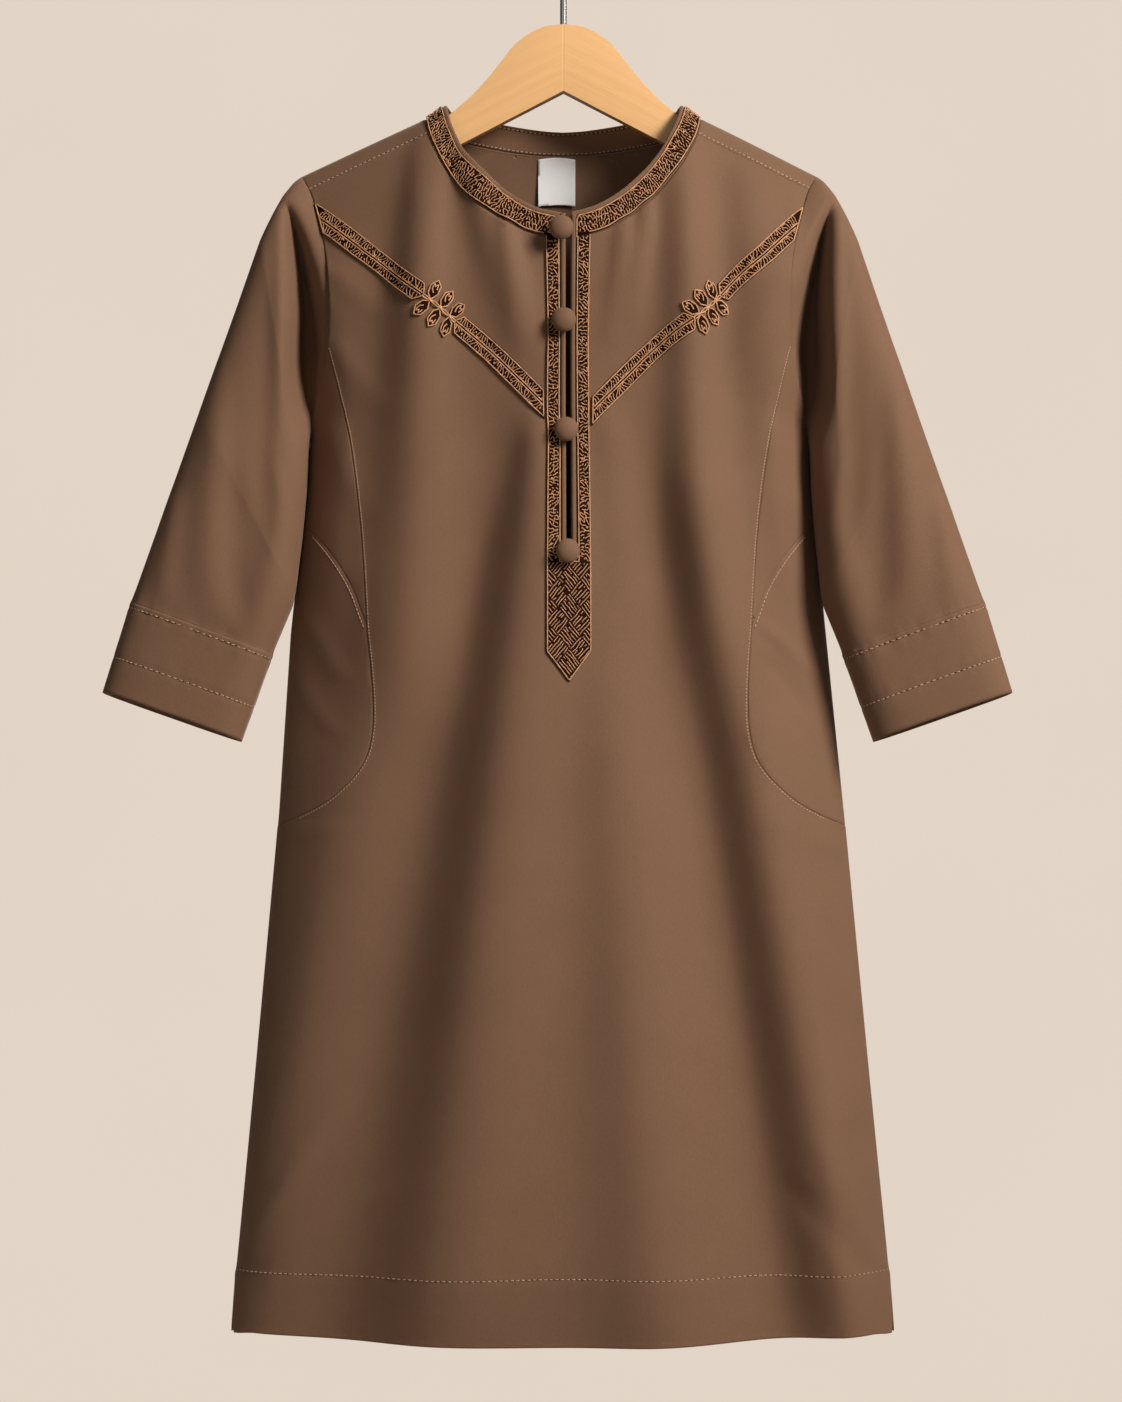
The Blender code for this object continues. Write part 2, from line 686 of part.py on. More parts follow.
def hem_edge(behind):
    """The lower edge with its two vents, from the side at -X to the side at +X."""
    sign, back_off = (1, VENT_OPEN["back"]) if behind else (-1, VENT_OPEN["front"])
    slit_top, foot = sign * (BODY_RUN - VENT_TALL), sign * BODY_RUN
    half = HALF_GIRTH - back_off
    low = [Vector((x * half, foot)) for x in np.linspace(-1, 1, 9)]
    ends = [Vector((side * HALF_GIRTH, slit_top)) for side in (-1, 1)]
    return [ends[0], *low, ends[1]]


def hem_thick(_, v):
    return DOUBLE_CLOTH if abs(v) > BODY_RUN - HEM_DEEP else CLOTH


def opening_edge(side):
    return OPENING_X + side * OPENING_HALF


def front_half(side):
    """The front panel's outline from the opening's edge to the foot of the pocket's seam."""
    edge = opening_edge(side)
    neck = [p for p in curve(NECK_FRONT) if p.x > abs(edge) + OPENING_HALF]
    neck = [p for p in neck if p.y < SHOULDER_SEAM[0][1] - NEAREST]
    armhole = part_between(curve(ARMHOLE_FRONT), SHOULDER_SEAM[1][1], FRONT_SEAM[0][1])
    return [
        on_pattern(edge, NECK_FRONT[0][1]),
        *flat_line(neck, side),
        *flat_line(curve(SHOULDER_SEAM), side),
        *flat_line(armhole, side)[1:],
        *flat_line(curve(FRONT_SEAM), side)[1:],
        side_at(FRONT_SEAM_FOOT_Z, side),
    ]


def front_outline():
    """The centre front, slit from the neck down to the last button."""
    foot = [on_pattern(opening_edge(side), OPENING_FOOT_Z) for side in (-1, 1)]
    return [*front_half(1), *reversed(hem_edge(False)), *reversed(front_half(-1)), *foot]


def side_front_outline(side):
    """The piece between the armhole, the long front seam and the pocket."""
    armhole = part_between(curve(ARMHOLE_FRONT), FRONT_SEAM[0][1], ARMHOLE_LAST_Z)
    seam = part_between(curve(FRONT_SEAM), FRONT_SEAM[0][1], POCKET_MOUTH[-1][1])
    return [
        *flat_line(armhole, side),
        side_at(UNDERARM_Z, side),
        side_at(POCKET_MOUTH_SIDE_Z, side),
        *flat_line(curve(POCKET_MOUTH), side),
        *flat_line(seam[1:-1], side)[::-1],
    ]


def pocket_outline(side):
    """The patch whose curved top edge is the pocket's mouth."""
    seam = part_between(curve(FRONT_SEAM), POCKET_MOUTH[-1][1], FRONT_SEAM[-1][1])
    return [
        side_at(POCKET_MOUTH_SIDE_Z, side),
        *flat_line(curve(POCKET_MOUTH), side),
        *flat_line(seam[1:], side),
        side_at(FRONT_SEAM_FOOT_Z, side),
    ]


def back_outline():
    """The back, cut in one with the front of the shoulders."""
    halves = []
    for side in (1, -1):
        neck = [p for p in curve(NECK_FRONT) if p.y > SHOULDER_SEAM[0][1] + NEAREST]
        front = part_between(curve(ARMHOLE_FRONT), ARMHOLE_FRONT[0][1], SHOULDER_SEAM[1][1])
        rear = part_between(curve(ARMHOLE_BACK), ARMHOLE_BACK[0][1], ARMHOLE_LAST_Z)
        inner = flat_line(neck, side) + flat_line(curve(NECK_BACK)[1:], side, True)
        outer = [
            *flat_line(curve(SHOULDER_SEAM), side),
            *flat_line(front[:-1], side)[::-1],
            *flat_line(rear[1:], side, True),
            side_at(UNDERARM_Z, side, True),
        ]
        halves.append((inner, outer))
    (left_neck, left), (right_neck, right) = halves
    return [*left, *reversed(hem_edge(True)), *right[::-1], *right_neck, *left_neck[::-1][1:]]


def neck_strip(near, far, back=0.0):
    """A strip inside the neckline, between two distances from it, split at the opening.

    It stops back short of each of the opening's edges.
    """
    edges = []
    for distance in (near, far):
        whole = []
        for side in (1, -1):
            moved = beside(neck_line(side), distance * side)
            edge = opening_edge(side) + side * back
            kept = [p for p in moved if p.x * side > abs(edge) + 2 * OPENING_HALF or p.y > 0]
            start = Vector((on_pattern(edge, NECK_FRONT[0][1]).x, moved[0].y))
            whole.append([start, *kept])
        edges.append([*whole[0], *whole[1][::-1][1:]])
    return [*edges[0], *edges[1][::-1]]


def neck_foot():
    """The neckline's lowest place on the pattern, where the opening meets it."""
    return on_pattern(*NECK_FRONT[0]).y


def binding_outline(side):
    """The folded edge of the opening, from the neck band's free edge down."""
    near = opening_edge(side)
    foot = PLACKET_PANEL_Z + BRAID
    low = [on_pattern(x, foot) for x in (near, near + side * BINDING_WIDE)]
    top = neck_foot() + NECK_BAND_WIDE
    return [*low, Vector((low[1].x, top)), Vector((low[0].x, top))]


def placket_braid_outline(side):
    near = opening_edge(side) + side * (BINDING_WIDE + LAYER_GAP)
    far = near + side * PLACKET_BRAID_WIDE
    top, foot = PLACKET_TOP_Z, PLACKET_PANEL_Z
    return [on_pattern(x, z) for x, z in ((near, top), (far, top), (far, foot), (near, foot))]


def placket_tip_outline():
    """The panel under the opening, which ends in a point."""
    half = OPENING_HALF + BINDING_WIDE + LAYER_GAP + PLACKET_BRAID_WIDE
    top = PLACKET_PANEL_Z - LAYER_GAP
    corners = (
        (-half, top),
        (-half, PLACKET_CORNER_Z),
        (0.0, PLACKET_TIP_Z),
        (half, PLACKET_CORNER_Z),
        (half, top),
    )
    return [on_pattern(OPENING_X + x, z) for x, z in corners]


def meet(fence, start, way):
    """Where a line from start along way first crosses an open line of points."""
    for first, second in zip(fence, fence[1:]):
        found = intersect_line_line_2d(start, start + way * 0.2, first, second)
        if found:
            return found
    return start


def chest_braid_outline(word, part):
    """A braid with a point towards the knot, cut along the armhole or the opening's braid."""
    side = 1 if word == "left" else -1
    outer, upper_tip, lower_tip, inner = [on_cloth(x, z) for x, z in CHEST_LINES[word]]
    if part == "upper":
        tip, far = upper_tip, outer
        back = Vector((side * CHEST_BRAID_BACK, 0))
        fence = [p - back for p in flat_line(curve(ARMHOLE_FRONT), side)]
    else:
        tip, far = lower_tip, inner
        edge = opening_edge(side) + side * (BINDING_WIDE + PLACKET_BRAID_WIDE + 2 * LAYER_GAP)
        fence = [on_pattern(edge, z) for z in (-0.230, -0.290)]
    way = (far - tip).normalized()
    over = Vector((-way.y, way.x)) * (CHEST_BRAID_WIDE / 2)
    shoulder = tip + way * CHEST_BRAID_POINT
    return [
        meet(fence, shoulder + over, way),
        shoulder + over,
        tip,
        shoulder - over,
        meet(fence, shoulder - over, way),
    ]


def knot_outline(word, points=13):
    """A stem between the two braids' points, with pairs of rounded leaves."""
    start, end = [on_cloth(x, z) for x, z in CHEST_LINES[word][1:3]]
    way = (end - start).normalized()
    start, end = start + way * LAYER_GAP, end - way * LAYER_GAP
    over = Vector((-way.y, way.x))
    flanks = []
    for sign in (1, -1):
        flank = []
        for k in range(1, KNOT_PAIRS * points - 1):
            share = k / (KNOT_PAIRS * points - 1)
            swell = abs(math.sin(KNOT_PAIRS * math.pi * share)) ** 0.6
            flank.append(start.lerp(end, share) + over * sign * (KNOT_STEM + KNOT_LEAF * swell))
        flanks.append(flank)
    return [start, *flanks[0][::2], end, *flanks[1][::-2]]


def label_outline():
    half = LABEL_WIDE / 2
    foot = LABEL_TOP_Z - LABEL_TALL
    corners = ((-half, LABEL_TOP_Z), (half, LABEL_TOP_Z), (half, foot), (-half, foot))
    return [on_pattern(LABEL_X + x, z, True) for x, z in corners]


def build_body(net):
    neck_lines = [neck_line(1), neck_line(-1)]

    def stand(u, v):
        return NECK_BAND_STAND * smooth(neck_distance(u, v, neck_lines) / NECK_BAND_WIDE)

    def over_band(u, v):
        return ON_CLOTH + (stand(u, v) if v > neck_foot() else 0.0)

    cloth_piece("front", net, front_outline(), "cloth", thick=hem_thick)
    cloth_piece("back", net, back_outline(), "cloth", thick=hem_thick)
    cloth_piece("neck_band", net, neck_strip(0.0, NECK_BAND_WIDE), "cloth", lift=stand)
    far = NECK_BRAID_MARGIN + NECK_BRAID_WIDE
    strip = neck_strip(NECK_BRAID_MARGIN, far, BINDING_WIDE + LAYER_GAP)
    cloth_piece("neck_braid", net, strip, "braid", lift=over_band, thick=BRAID)
    for word, side in (("left", 1), ("right", -1)):
        cloth_piece(f"side_front_{word}", net, side_front_outline(side), "cloth")
        cloth_piece(f"pocket_{word}", net, pocket_outline(side), "cloth")
        strip = binding_outline(side)
        cloth_piece(f"opening_binding_{word}", net, strip, "cloth", over_band, BINDING)
        strip = placket_braid_outline(side)
        cloth_piece(f"placket_braid_{word}", net, strip, "braid", ON_CLOTH, BRAID)
        for part in ("upper", "lower"):
            strip = chest_braid_outline(word, part)
            cloth_piece(f"chest_braid_{part}_{word}", net, strip, "braid", ON_CLOTH, BRAID)
        cloth_piece(f"knot_{word}", net, knot_outline(word), "braid", ON_CLOTH, BRAID)
    cloth_piece("placket_tip", net, placket_tip_outline(), "braid", ON_CLOTH, BRAID)
    lift = -LAYER_GAP - LABEL_THICK
    cloth_piece("label", net, label_outline(), "label", lift, LABEL_THICK)


def build_buttons(net):
    """Ball buttons covered in the robe's cloth, each standing on the opening's edges."""
    for number, (x, z) in enumerate(BUTTONS, 1):
        ball = bmesh.new()
        bmesh.ops.create_uvsphere(ball, u_segments=16, v_segments=8, radius=BUTTON_RADIUS)
        place = on_pattern(x, z)
        under = ON_CLOTH + BINDING + (NECK_BAND_STAND + BRAID if number == 1 else 0)
        height = under + 2.5 * LAYER_GAP + BUTTON_RADIUS * BUTTON_FLATNESS
        middle = net.at(place.x, place.y, height)
        turned = net.direction(place.x, place.y).to_track_quat("Z", "Y")
        for vert in ball.verts:
            flattened = Vector((vert.co.x, vert.co.y, vert.co.z * BUTTON_FLATNESS))
            vert.co = turned @ flattened + middle
        new_object(f"button_{number}", ball, "button")


# --- the sleeves ---------------------------------------------------------------------------


def sleeve_share(turn):
    """Share of the way from the outer fold to the seam, at this share of the half girth."""
    return SLEEVE_EVEN * turn + (1 - SLEEVE_EVEN) * (1 - math.cos(math.pi * turn)) / 2


def armhole(side, behind):
    """The armhole on the body's pattern, from the shoulder to the underarm."""
    table = ARMHOLE_BACK if behind else ARMHOLE_FRONT
    return [*flat_line(curve(table)[:-1], side, behind), side_at(UNDERARM_Z, side, behind)]


def along_line(line, share):
    """The place at a share of an open line's length."""
    lengths = [(b - a).length for a, b in zip(line, line[1:])]
    left = share * sum(lengths)
    for start, end, length in zip(line, line[1:], lengths):
        if left <= length:
            return start + (end - start) * (left / length)
        left -= length
    return line[-1]


def sleeve_fold(table, x, z):
    """How strong one of the folds that run down beside the armhole is at a place."""
    middle, wide, strength = (column(table, z, value=k) for k in (1, 2, 3))
    return strength * math.exp(-(((x - middle) / wide) ** 2))


def sleeve_shift(side, share):
    return column(LEFT_SLEEVE_IN, share) if side > 0 else 0.0


def sleeve_form(side, share, turn):
    """A place on the sleeve's own form, past the armhole. turn is below 0 on the back."""
    across = sleeve_share(abs(turn))
    outer_x, outer_z, inner_x, inner_z = (
        column(SLEEVE_LINES, share, value=k) for k in range(1, 5)
    )
    x = outer_x + across * (inner_x - outer_x) - sleeve_shift(side, share)
    z = outer_z + across * (inner_z - outer_z)
    power = SLEEVE_POWER["outer" if across < 0.5 else "inner"]
    full = (1 - abs(1 - 2 * across) ** power) ** (1 / power)
    y = column(SLEEVE_DEPTH, share) * (-full if turn > 0 else full)
    lean = SLEEVE_LEAN * 2 * SLEEVE_HALF * share**2 * (-full if turn > 0 else full)
    place = Vector((x, y + column(SLEEVE_FORWARD, share), z)) + Vector(SLEEVE_DOWN) * lean
    return Vector((side * place.x, place.y, place.z)), full


def sleeve_net(side, body_form):
    """The sleeve's net. Its first ring is the armhole."""
    turns = np.linspace(-1, 1, SLEEVE_COLUMNS_ROUND + 1)
    lines = {behind: armhole(side, behind) for behind in (False, True)}
    start, start_out = [], []
    for turn in turns:
        place = along_line(lines[turn < 0], sleeve_share(abs(turn)))
        out = body_form.direction(place.x, place.y)
        near_underarm = smooth((abs(turn) - UNDERARM_FROM) / UNDERARM_OVER)
        clear = UNDERARM_CLEAR * near_underarm
        start.append(body_form.at(place.x, place.y) + out * clear)
        start_out.append((out, near_underarm))
    points = []
    for k, turn in enumerate(turns):
        run = []
        for share in SLEEVE_RINGS:
            own, full = sleeve_form(side, share, turn)
            reached = math.sin(math.pi / 2 * min(share / ARMHOLE_REACH, 1.0))
            place = start[k].lerp(own, reached)
            level_x = abs(place.x) + sleeve_shift(side, share)
            dip = 2 * full * column(SLEEVE_DEPTH, share) * smooth(share / VALLEY_START)
            dip *= sleeve_fold(VALLEY, level_x, place.z)
            rise = full * sleeve_fold(RIDGE, level_x, place.z)
            place.y += dip - rise if turn > 0 else -dip * BACK_VALLEY
            run.append(place)
        points.append(run)
    directions = sleeve_directions(side, points)
    for k, (out, near_underarm) in enumerate(start_out):
        directions[k][0] = out.lerp(directions[k][0], near_underarm).normalized()
    us = [turn * SLEEVE_HALF for turn in turns]
    vs = [share * SLEEVE_RUN for share in SLEEVE_RINGS]
    return Net(us, vs, points, directions)


def sleeve_directions(side, points):
    """Outward directions on a tube of points, from each point's neighbours."""
    around, along = len(points) - 1, len(points[0])
    directions = [[None] * along for _ in points]
    for k in range(around + 1):
        before, after = points[(k - 1) % around], points[(k + 1) % around]
        if k in (0, around):
            before, after = points[around - 1], points[1]
        for m in range(along):
            across = after[m] - before[m]
            down = points[k][min(m + 1, along - 1)] - points[k][max(m - 1, 0)]
            directions[k][m] = across.cross(down).normalized() * side
    return directions


def build_sleeve(side, word, body_form):
    net = sleeve_net(side, body_form)
    seam = CUFF_SEAM * SLEEVE_RUN
    for name, top, foot, thick in (
        (f"sleeve_{word}", 0.0, seam, CLOTH),
        (f"cuff_{word}", seam, SLEEVE_RUN, DOUBLE_CLOTH),
    ):
        corners = ((-1, top), (1, top), (1, foot), (-1, foot))
        outline = [Vector((turn * SLEEVE_HALF, v)) for turn, v in corners]
        cloth_piece(name, net, outline, "cloth", thick=thick)


# --- the hanger ----------------------------------------------------------------------------


def wood_half_thick(x):
    return WOOD_HALF_THICK * (1 - WOOD_END_THIN * smooth(abs(x) / WOOD_THIN_REACH))


def build_hanger():
    """A plank cut to a shallow gable, with a bore for the hook's shank."""
    half = [*curve(WOOD_TOP, WOOD_TOP_STEP), *curve(WOOD_END), *curve(WOOD_UNDER, WOOD_UNDER_STEP)]
    outline = half + [Vector((-p.x, p.y)) for p in reversed(half) if abs(p.x) > 1e-6]
    plank = bmesh.new()
    face = plank.faces.new([plank.verts.new((p.x, -1, p.y)) for p in without_doubles(outline)])
    for x in np.linspace(-WOOD_CUT_REACH, WOOD_CUT_REACH, WOOD_CUTS):
        everything = [*plank.verts, *plank.edges, *plank.faces]
        bmesh.ops.bisect_plane(
            plank, geom=everything, dist=1e-5, plane_co=(float(x), 0, 0), plane_no=(1, 0, 0)
        )
    pushed = bmesh.ops.extrude_face_region(plank, geom=list(plank.faces), use_keep_orig=True)
    for vert in [item for item in pushed["geom"] if isinstance(item, bmesh.types.BMVert)]:
        vert.co.y = 1
    bmesh.ops.recalc_face_normals(plank, faces=plank.faces)
    for vert in plank.verts:
        vert.co.y *= wood_half_thick(vert.co.x)
    rim = [e for e in plank.edges if e.calc_face_angle(0) > math.radians(60)]
    rim = [e for e in rim if abs(e.verts[0].co.y - e.verts[1].co.y) < WOOD_HALF_THICK / 2]
    bmesh.ops.bevel(
        plank, geom=rim, offset=WOOD_EDGE, segments=2, profile=0.5, affect="EDGES", material=-1
    )
    wood = new_object("hanger_wood", plank, "wood")
    bore = bmesh.new()
    bmesh.ops.create_cone(
        bore,
        cap_ends=True,
        segments=20,
        radius1=WIRE_RADIUS + WIRE_HOLE_CLEAR,
        radius2=WIRE_RADIUS + WIRE_HOLE_CLEAR,
        depth=BORE_LONG,
    )
    foot = HOOK_FOOT_Z - LAYER_GAP
    bmesh.ops.translate(bore, verts=bore.verts, vec=(0, 0, foot + BORE_LONG / 2))
    cut_away(wood, bore)


def cut_away(piece, cutter):
    """Cuts a bmesh's shape out of an object."""
    mesh = bpy.data.meshes.new("cutter")
    cutter.to_mesh(mesh)
    cutter.free()
    tool = bpy.data.objects.new("cutter", mesh)
    bpy.context.scene.collection.objects.link(tool)
    step = piece.modifiers.new("bore", "BOOLEAN")
    step.operation, step.solver, step.object = "DIFFERENCE", "EXACT", tool
    bpy.context.view_layer.update()
    depsgraph = bpy.context.evaluated_depsgraph_get()
    piece.data = bpy.data.meshes.new_from_object(piece.evaluated_get(depsgraph))
    piece.modifiers.clear()
    bpy.data.objects.remove(tool, do_unlink=True)


def hook_line():
    """The wire's middle line: up from the wood, out to one side and over the top."""
    centre_z = WIRE_RADIUS - HOOK_RADIUS
    start = Vector((math.cos(HOOK_START), math.sin(HOOK_START))) * HOOK_RADIUS
    start.y += centre_z
    heading = Vector((-math.sin(HOOK_START), math.cos(HOOK_START)))
    neck = Vector((0, HOOK_NECK_Z))
    line = [Vector((0, HOOK_FOOT_Z)), neck.copy()]
    pulls = (neck, neck + Vector((0, HOOK_PULL)), start - heading * HOOK_PULL, start)
    for k in range(1, BEND_STEPS):
        t = k / BEND_STEPS
        weights = ((1 - t) ** 3, 3 * t * (1 - t) ** 2, 3 * t * t * (1 - t), t**3)
        line.append(sum((p * w for p, w in zip(pulls, weights)), Vector((0, 0))))
    for angle in np.linspace(HOOK_START, HOOK_END, HOOK_STEPS):
        turned = Vector((math.cos(angle), math.sin(angle))) * HOOK_RADIUS
        line.append(turned + Vector((0, centre_z)))
    return line


def build_hook():
    """The wire, swept along its line, with a rounded free end."""
    line = hook_line()
    ways = [(line[min(k + 1, len(line) - 1)] - line[max(k - 1, 0)]).normalized()
            for k in range(len(line))]
    stations = [(p, w, 1.0) for p, w in zip(line, ways)]
    tip, way = line[-1], ways[-1]
    for angle in (math.radians(37), math.radians(66)):
        stations.append((tip + way * (WIRE_RADIUS * math.sin(angle)), way, math.cos(angle)))
    wire = bmesh.new()
    rings = []
    for place, way, size in stations:
        ring = []
        for k in range(HOOK_SIDES):
            turn = 2 * math.pi * k / HOOK_SIDES
            flat = place + Vector((way.y, -way.x)) * (WIRE_RADIUS * size * math.cos(turn))
            ring.append(wire.verts.new((flat.x, WIRE_RADIUS * size * math.sin(turn), flat.y)))
        rings.append(ring)
    for ring, following in zip(rings, rings[1:]):
        for k in range(HOOK_SIDES):
            after = (k + 1) % HOOK_SIDES
            wire.faces.new((ring[k], ring[after], following[after], following[k]))
    wire.faces.new(rings[0])
    wire.faces.new(rings[-1])
    new_object("hanger_hook", wire, "wire")


def main():
    for old in list(bpy.data.objects):
        bpy.data.objects.remove(old, do_unlink=True)
    form = body_net()
    build_body(form)
    build_buttons(form)
    for word, side in (("left", 1), ("right", -1)):
        build_sleeve(side, word, form)
    build_hanger()
    build_hook()


main()
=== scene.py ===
"""Dresses a small child's embroidered thobe and the wooden hanger that holds it.

The robe is cut like the real one. Each piece of cloth is a flat outline on a pattern, measured
from the shoulder ridge and the centre line, that is then hung on the robe's form. Braid, cord and
stitches are laid on the same pattern, so they follow the cloth wherever it bends. Metres, +Z up.
The front faces -Y, and the wearer's left is at +X.
"""

import logging
import math
from dataclasses import dataclass, field
from enum import Enum
from typing import Callable, Iterable, Sequence

import bmesh
import bpy
import numpy as np
from mathutils import Matrix, Vector


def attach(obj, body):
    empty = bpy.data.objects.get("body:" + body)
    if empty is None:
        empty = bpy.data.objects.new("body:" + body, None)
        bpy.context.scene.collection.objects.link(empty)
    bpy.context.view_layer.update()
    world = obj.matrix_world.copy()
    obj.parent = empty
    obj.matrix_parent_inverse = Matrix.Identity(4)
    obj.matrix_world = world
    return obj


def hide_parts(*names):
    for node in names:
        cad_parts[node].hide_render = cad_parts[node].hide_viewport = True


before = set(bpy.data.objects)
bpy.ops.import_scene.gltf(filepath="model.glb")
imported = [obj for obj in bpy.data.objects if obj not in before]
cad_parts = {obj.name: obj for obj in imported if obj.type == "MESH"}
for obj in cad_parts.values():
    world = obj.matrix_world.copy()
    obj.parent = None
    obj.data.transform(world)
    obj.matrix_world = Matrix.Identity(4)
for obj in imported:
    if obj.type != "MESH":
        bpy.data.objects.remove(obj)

LOG = logging.getLogger("thobe")
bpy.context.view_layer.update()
norm = np.linalg.norm
Array = np.ndarray
Value = Array | float
Row = tuple[float, ...]
Line = Array  # points on a pattern, one (u, v) a row
Lift = float | Callable[[Line], Array]
Strand = tuple[Line, Array]  # a cord's line on the pattern, with the height of its middle
Piece = bpy.types.Object
Finish = bpy.types.Material
Shape = bmesh.types.BMesh


class Side(Enum):
    """A side of the robe, named for the wearer. The value is the sign of X there."""

    LEFT = 1
    RIGHT = -1

    @property
    def word(self) -> str:
        """The side's name in the names of pieces."""
        return self.name.lower()


# --- small tools ---


def smooth(share: Value) -> Array:
    """0 below 0, 1 above 1, and an even S between."""
    share = np.clip(share, 0.0, 1.0)
    return share * share * (3 - 2 * share)


def read(table: Sequence[Row], place: Value, value: int = 1) -> Array:
    """Reads a table by straight lines between its rows.

    Args:
        table: rows that start with their key, in either order.
        place: where to read, in the key's unit.
        value: the column to read.

    Returns:
        The column's value at each place.
    """
    rows = np.array(sorted(table), float)
    return np.interp(place, rows[:, 0], rows[:, value])


def metres(*rows: Row) -> tuple[Row, ...]:
    """A table of lengths, from rows in millimetres."""
    return tuple(tuple(value / 1000 for value in row) for row in rows)


def curve(points: Sequence[Row], step: float = 0.004) -> Line:
    """A smooth line through the points, with a point about every step.

    Args:
        points: what it runs through, in order.
        step: the distance between its points.

    Returns:
        The line.
    """
    given = np.array(points, float)
    ends = np.vstack([2 * given[0] - given[1], given, 2 * given[-1] - given[-2]])
    line = []
    for before, start, end, after in zip(ends, ends[1:], ends[2:], ends[3:]):
        count = max(1, round(float(norm(end - start)) / step))
        for t in np.arange(count) / count:
            bend = 2 * before - 5 * start + 4 * end - after
            twist = 3 * start - before - 3 * end + after
            line.append(0.5 * (2 * start + (end - before) * t + bend * t**2 + twist * t**3))
    return np.array([*line, given[-1]])


def between(line: Line, first: float, last: float) -> Line:
    """The stretch of a line whose second coordinate lies between two values."""
    low, high = min(first, last) - 1e-6, max(first, last) + 1e-6
    return line[(line[:, 1] >= low) & (line[:, 1] <= high)]


def lengths(line: Line) -> Array:
    """How far along an open line each of its points is."""
    steps = norm(np.diff(line, axis=0), axis=1)
    return np.concatenate([[0.0], np.cumsum(steps)])


def unit(ways: Array) -> Array:
    """Directions, one a row, each made 1 long."""
    return ways / norm(ways, axis=1)[:, None]


def pick(line: Line, run: Array, marks: Array) -> Line:
    """The points of a line at marks on its run. The line may have any number of columns."""
    return np.column_stack([np.interp(marks, run, column) for column in line.T])


def resample(line: Line, step: float) -> Line:
    """The line again, with even steps of about this length."""
    run = lengths(line)
    return pick(line, run, np.linspace(0, run[-1], max(2, round(run[-1] / step) + 1)))


def beside(line: Line, distance: float) -> Line:
    """An open line moved to its left by a distance."""
    way = np.gradient(line, axis=0)
    way /= norm(way, axis=1)[:, None] + 1e-12
    return line + np.column_stack([-way[:, 1], way[:, 0]]) * distance


def distance_to(line: Line, places: Line) -> Array:
    """How far each place is from an open line.

    Args:
        line: the line.
        places: the places.

    Returns:
        A distance for each place.
    """
    start, way = line[:-1], np.diff(line, axis=0)
    gap = places[:, None, :] - start[None]
    along = (gap * way[None]).sum(2) / ((way**2).sum(1) + 1e-15)
    gap -= np.clip(along, 0, 1)[..., None] * way[None]
    return norm(gap, axis=2).min(1)


# --- materials ---


def sign(operation: str, reflected: bool = False) -> Callable[["Flow", object], "Flow"]:
    """A method for an arithmetic sign, which adds a Math node.

    Args:
        operation: the node's operation.
        reflected: whether the flow stands to the right of the sign.

    Returns:
        The method.
    """

    def method(flow: "Flow", other: object) -> "Flow":
        """Adds the node for a flow and another value."""
        pair = (other, flow) if reflected else (flow, other)
        return flow.recipe.add("ShaderNodeMath", pair, operation=operation)

    return method


class Flow:
    """A value on its way through a material's nodes. Arithmetic on it adds Math nodes."""

    __add__, __radd__ = sign("ADD"), sign("ADD", True)
    __sub__, __rsub__ = sign("SUBTRACT"), sign("SUBTRACT", True)
    __mul__, __rmul__ = sign("MULTIPLY"), sign("MULTIPLY", True)
    __truediv__, __rtruediv__ = sign("DIVIDE"), sign("DIVIDE", True)

    def __init__(self, recipe: "Recipe", socket: bpy.types.NodeSocket) -> None:
        """Wraps an output socket of a recipe's node."""
        self.recipe, self.socket = recipe, socket

    def sine(self) -> "Flow":
        """The sine of self."""
        return sign("SINE")(self, 0.0)

    def size(self) -> "Flow":
        """self without its sign."""
        return sign("ABSOLUTE")(self, 0.0)

    def atleast(self, least: float) -> "Flow":
        """The larger of self and a number."""
        return sign("MAXIMUM")(self, least)


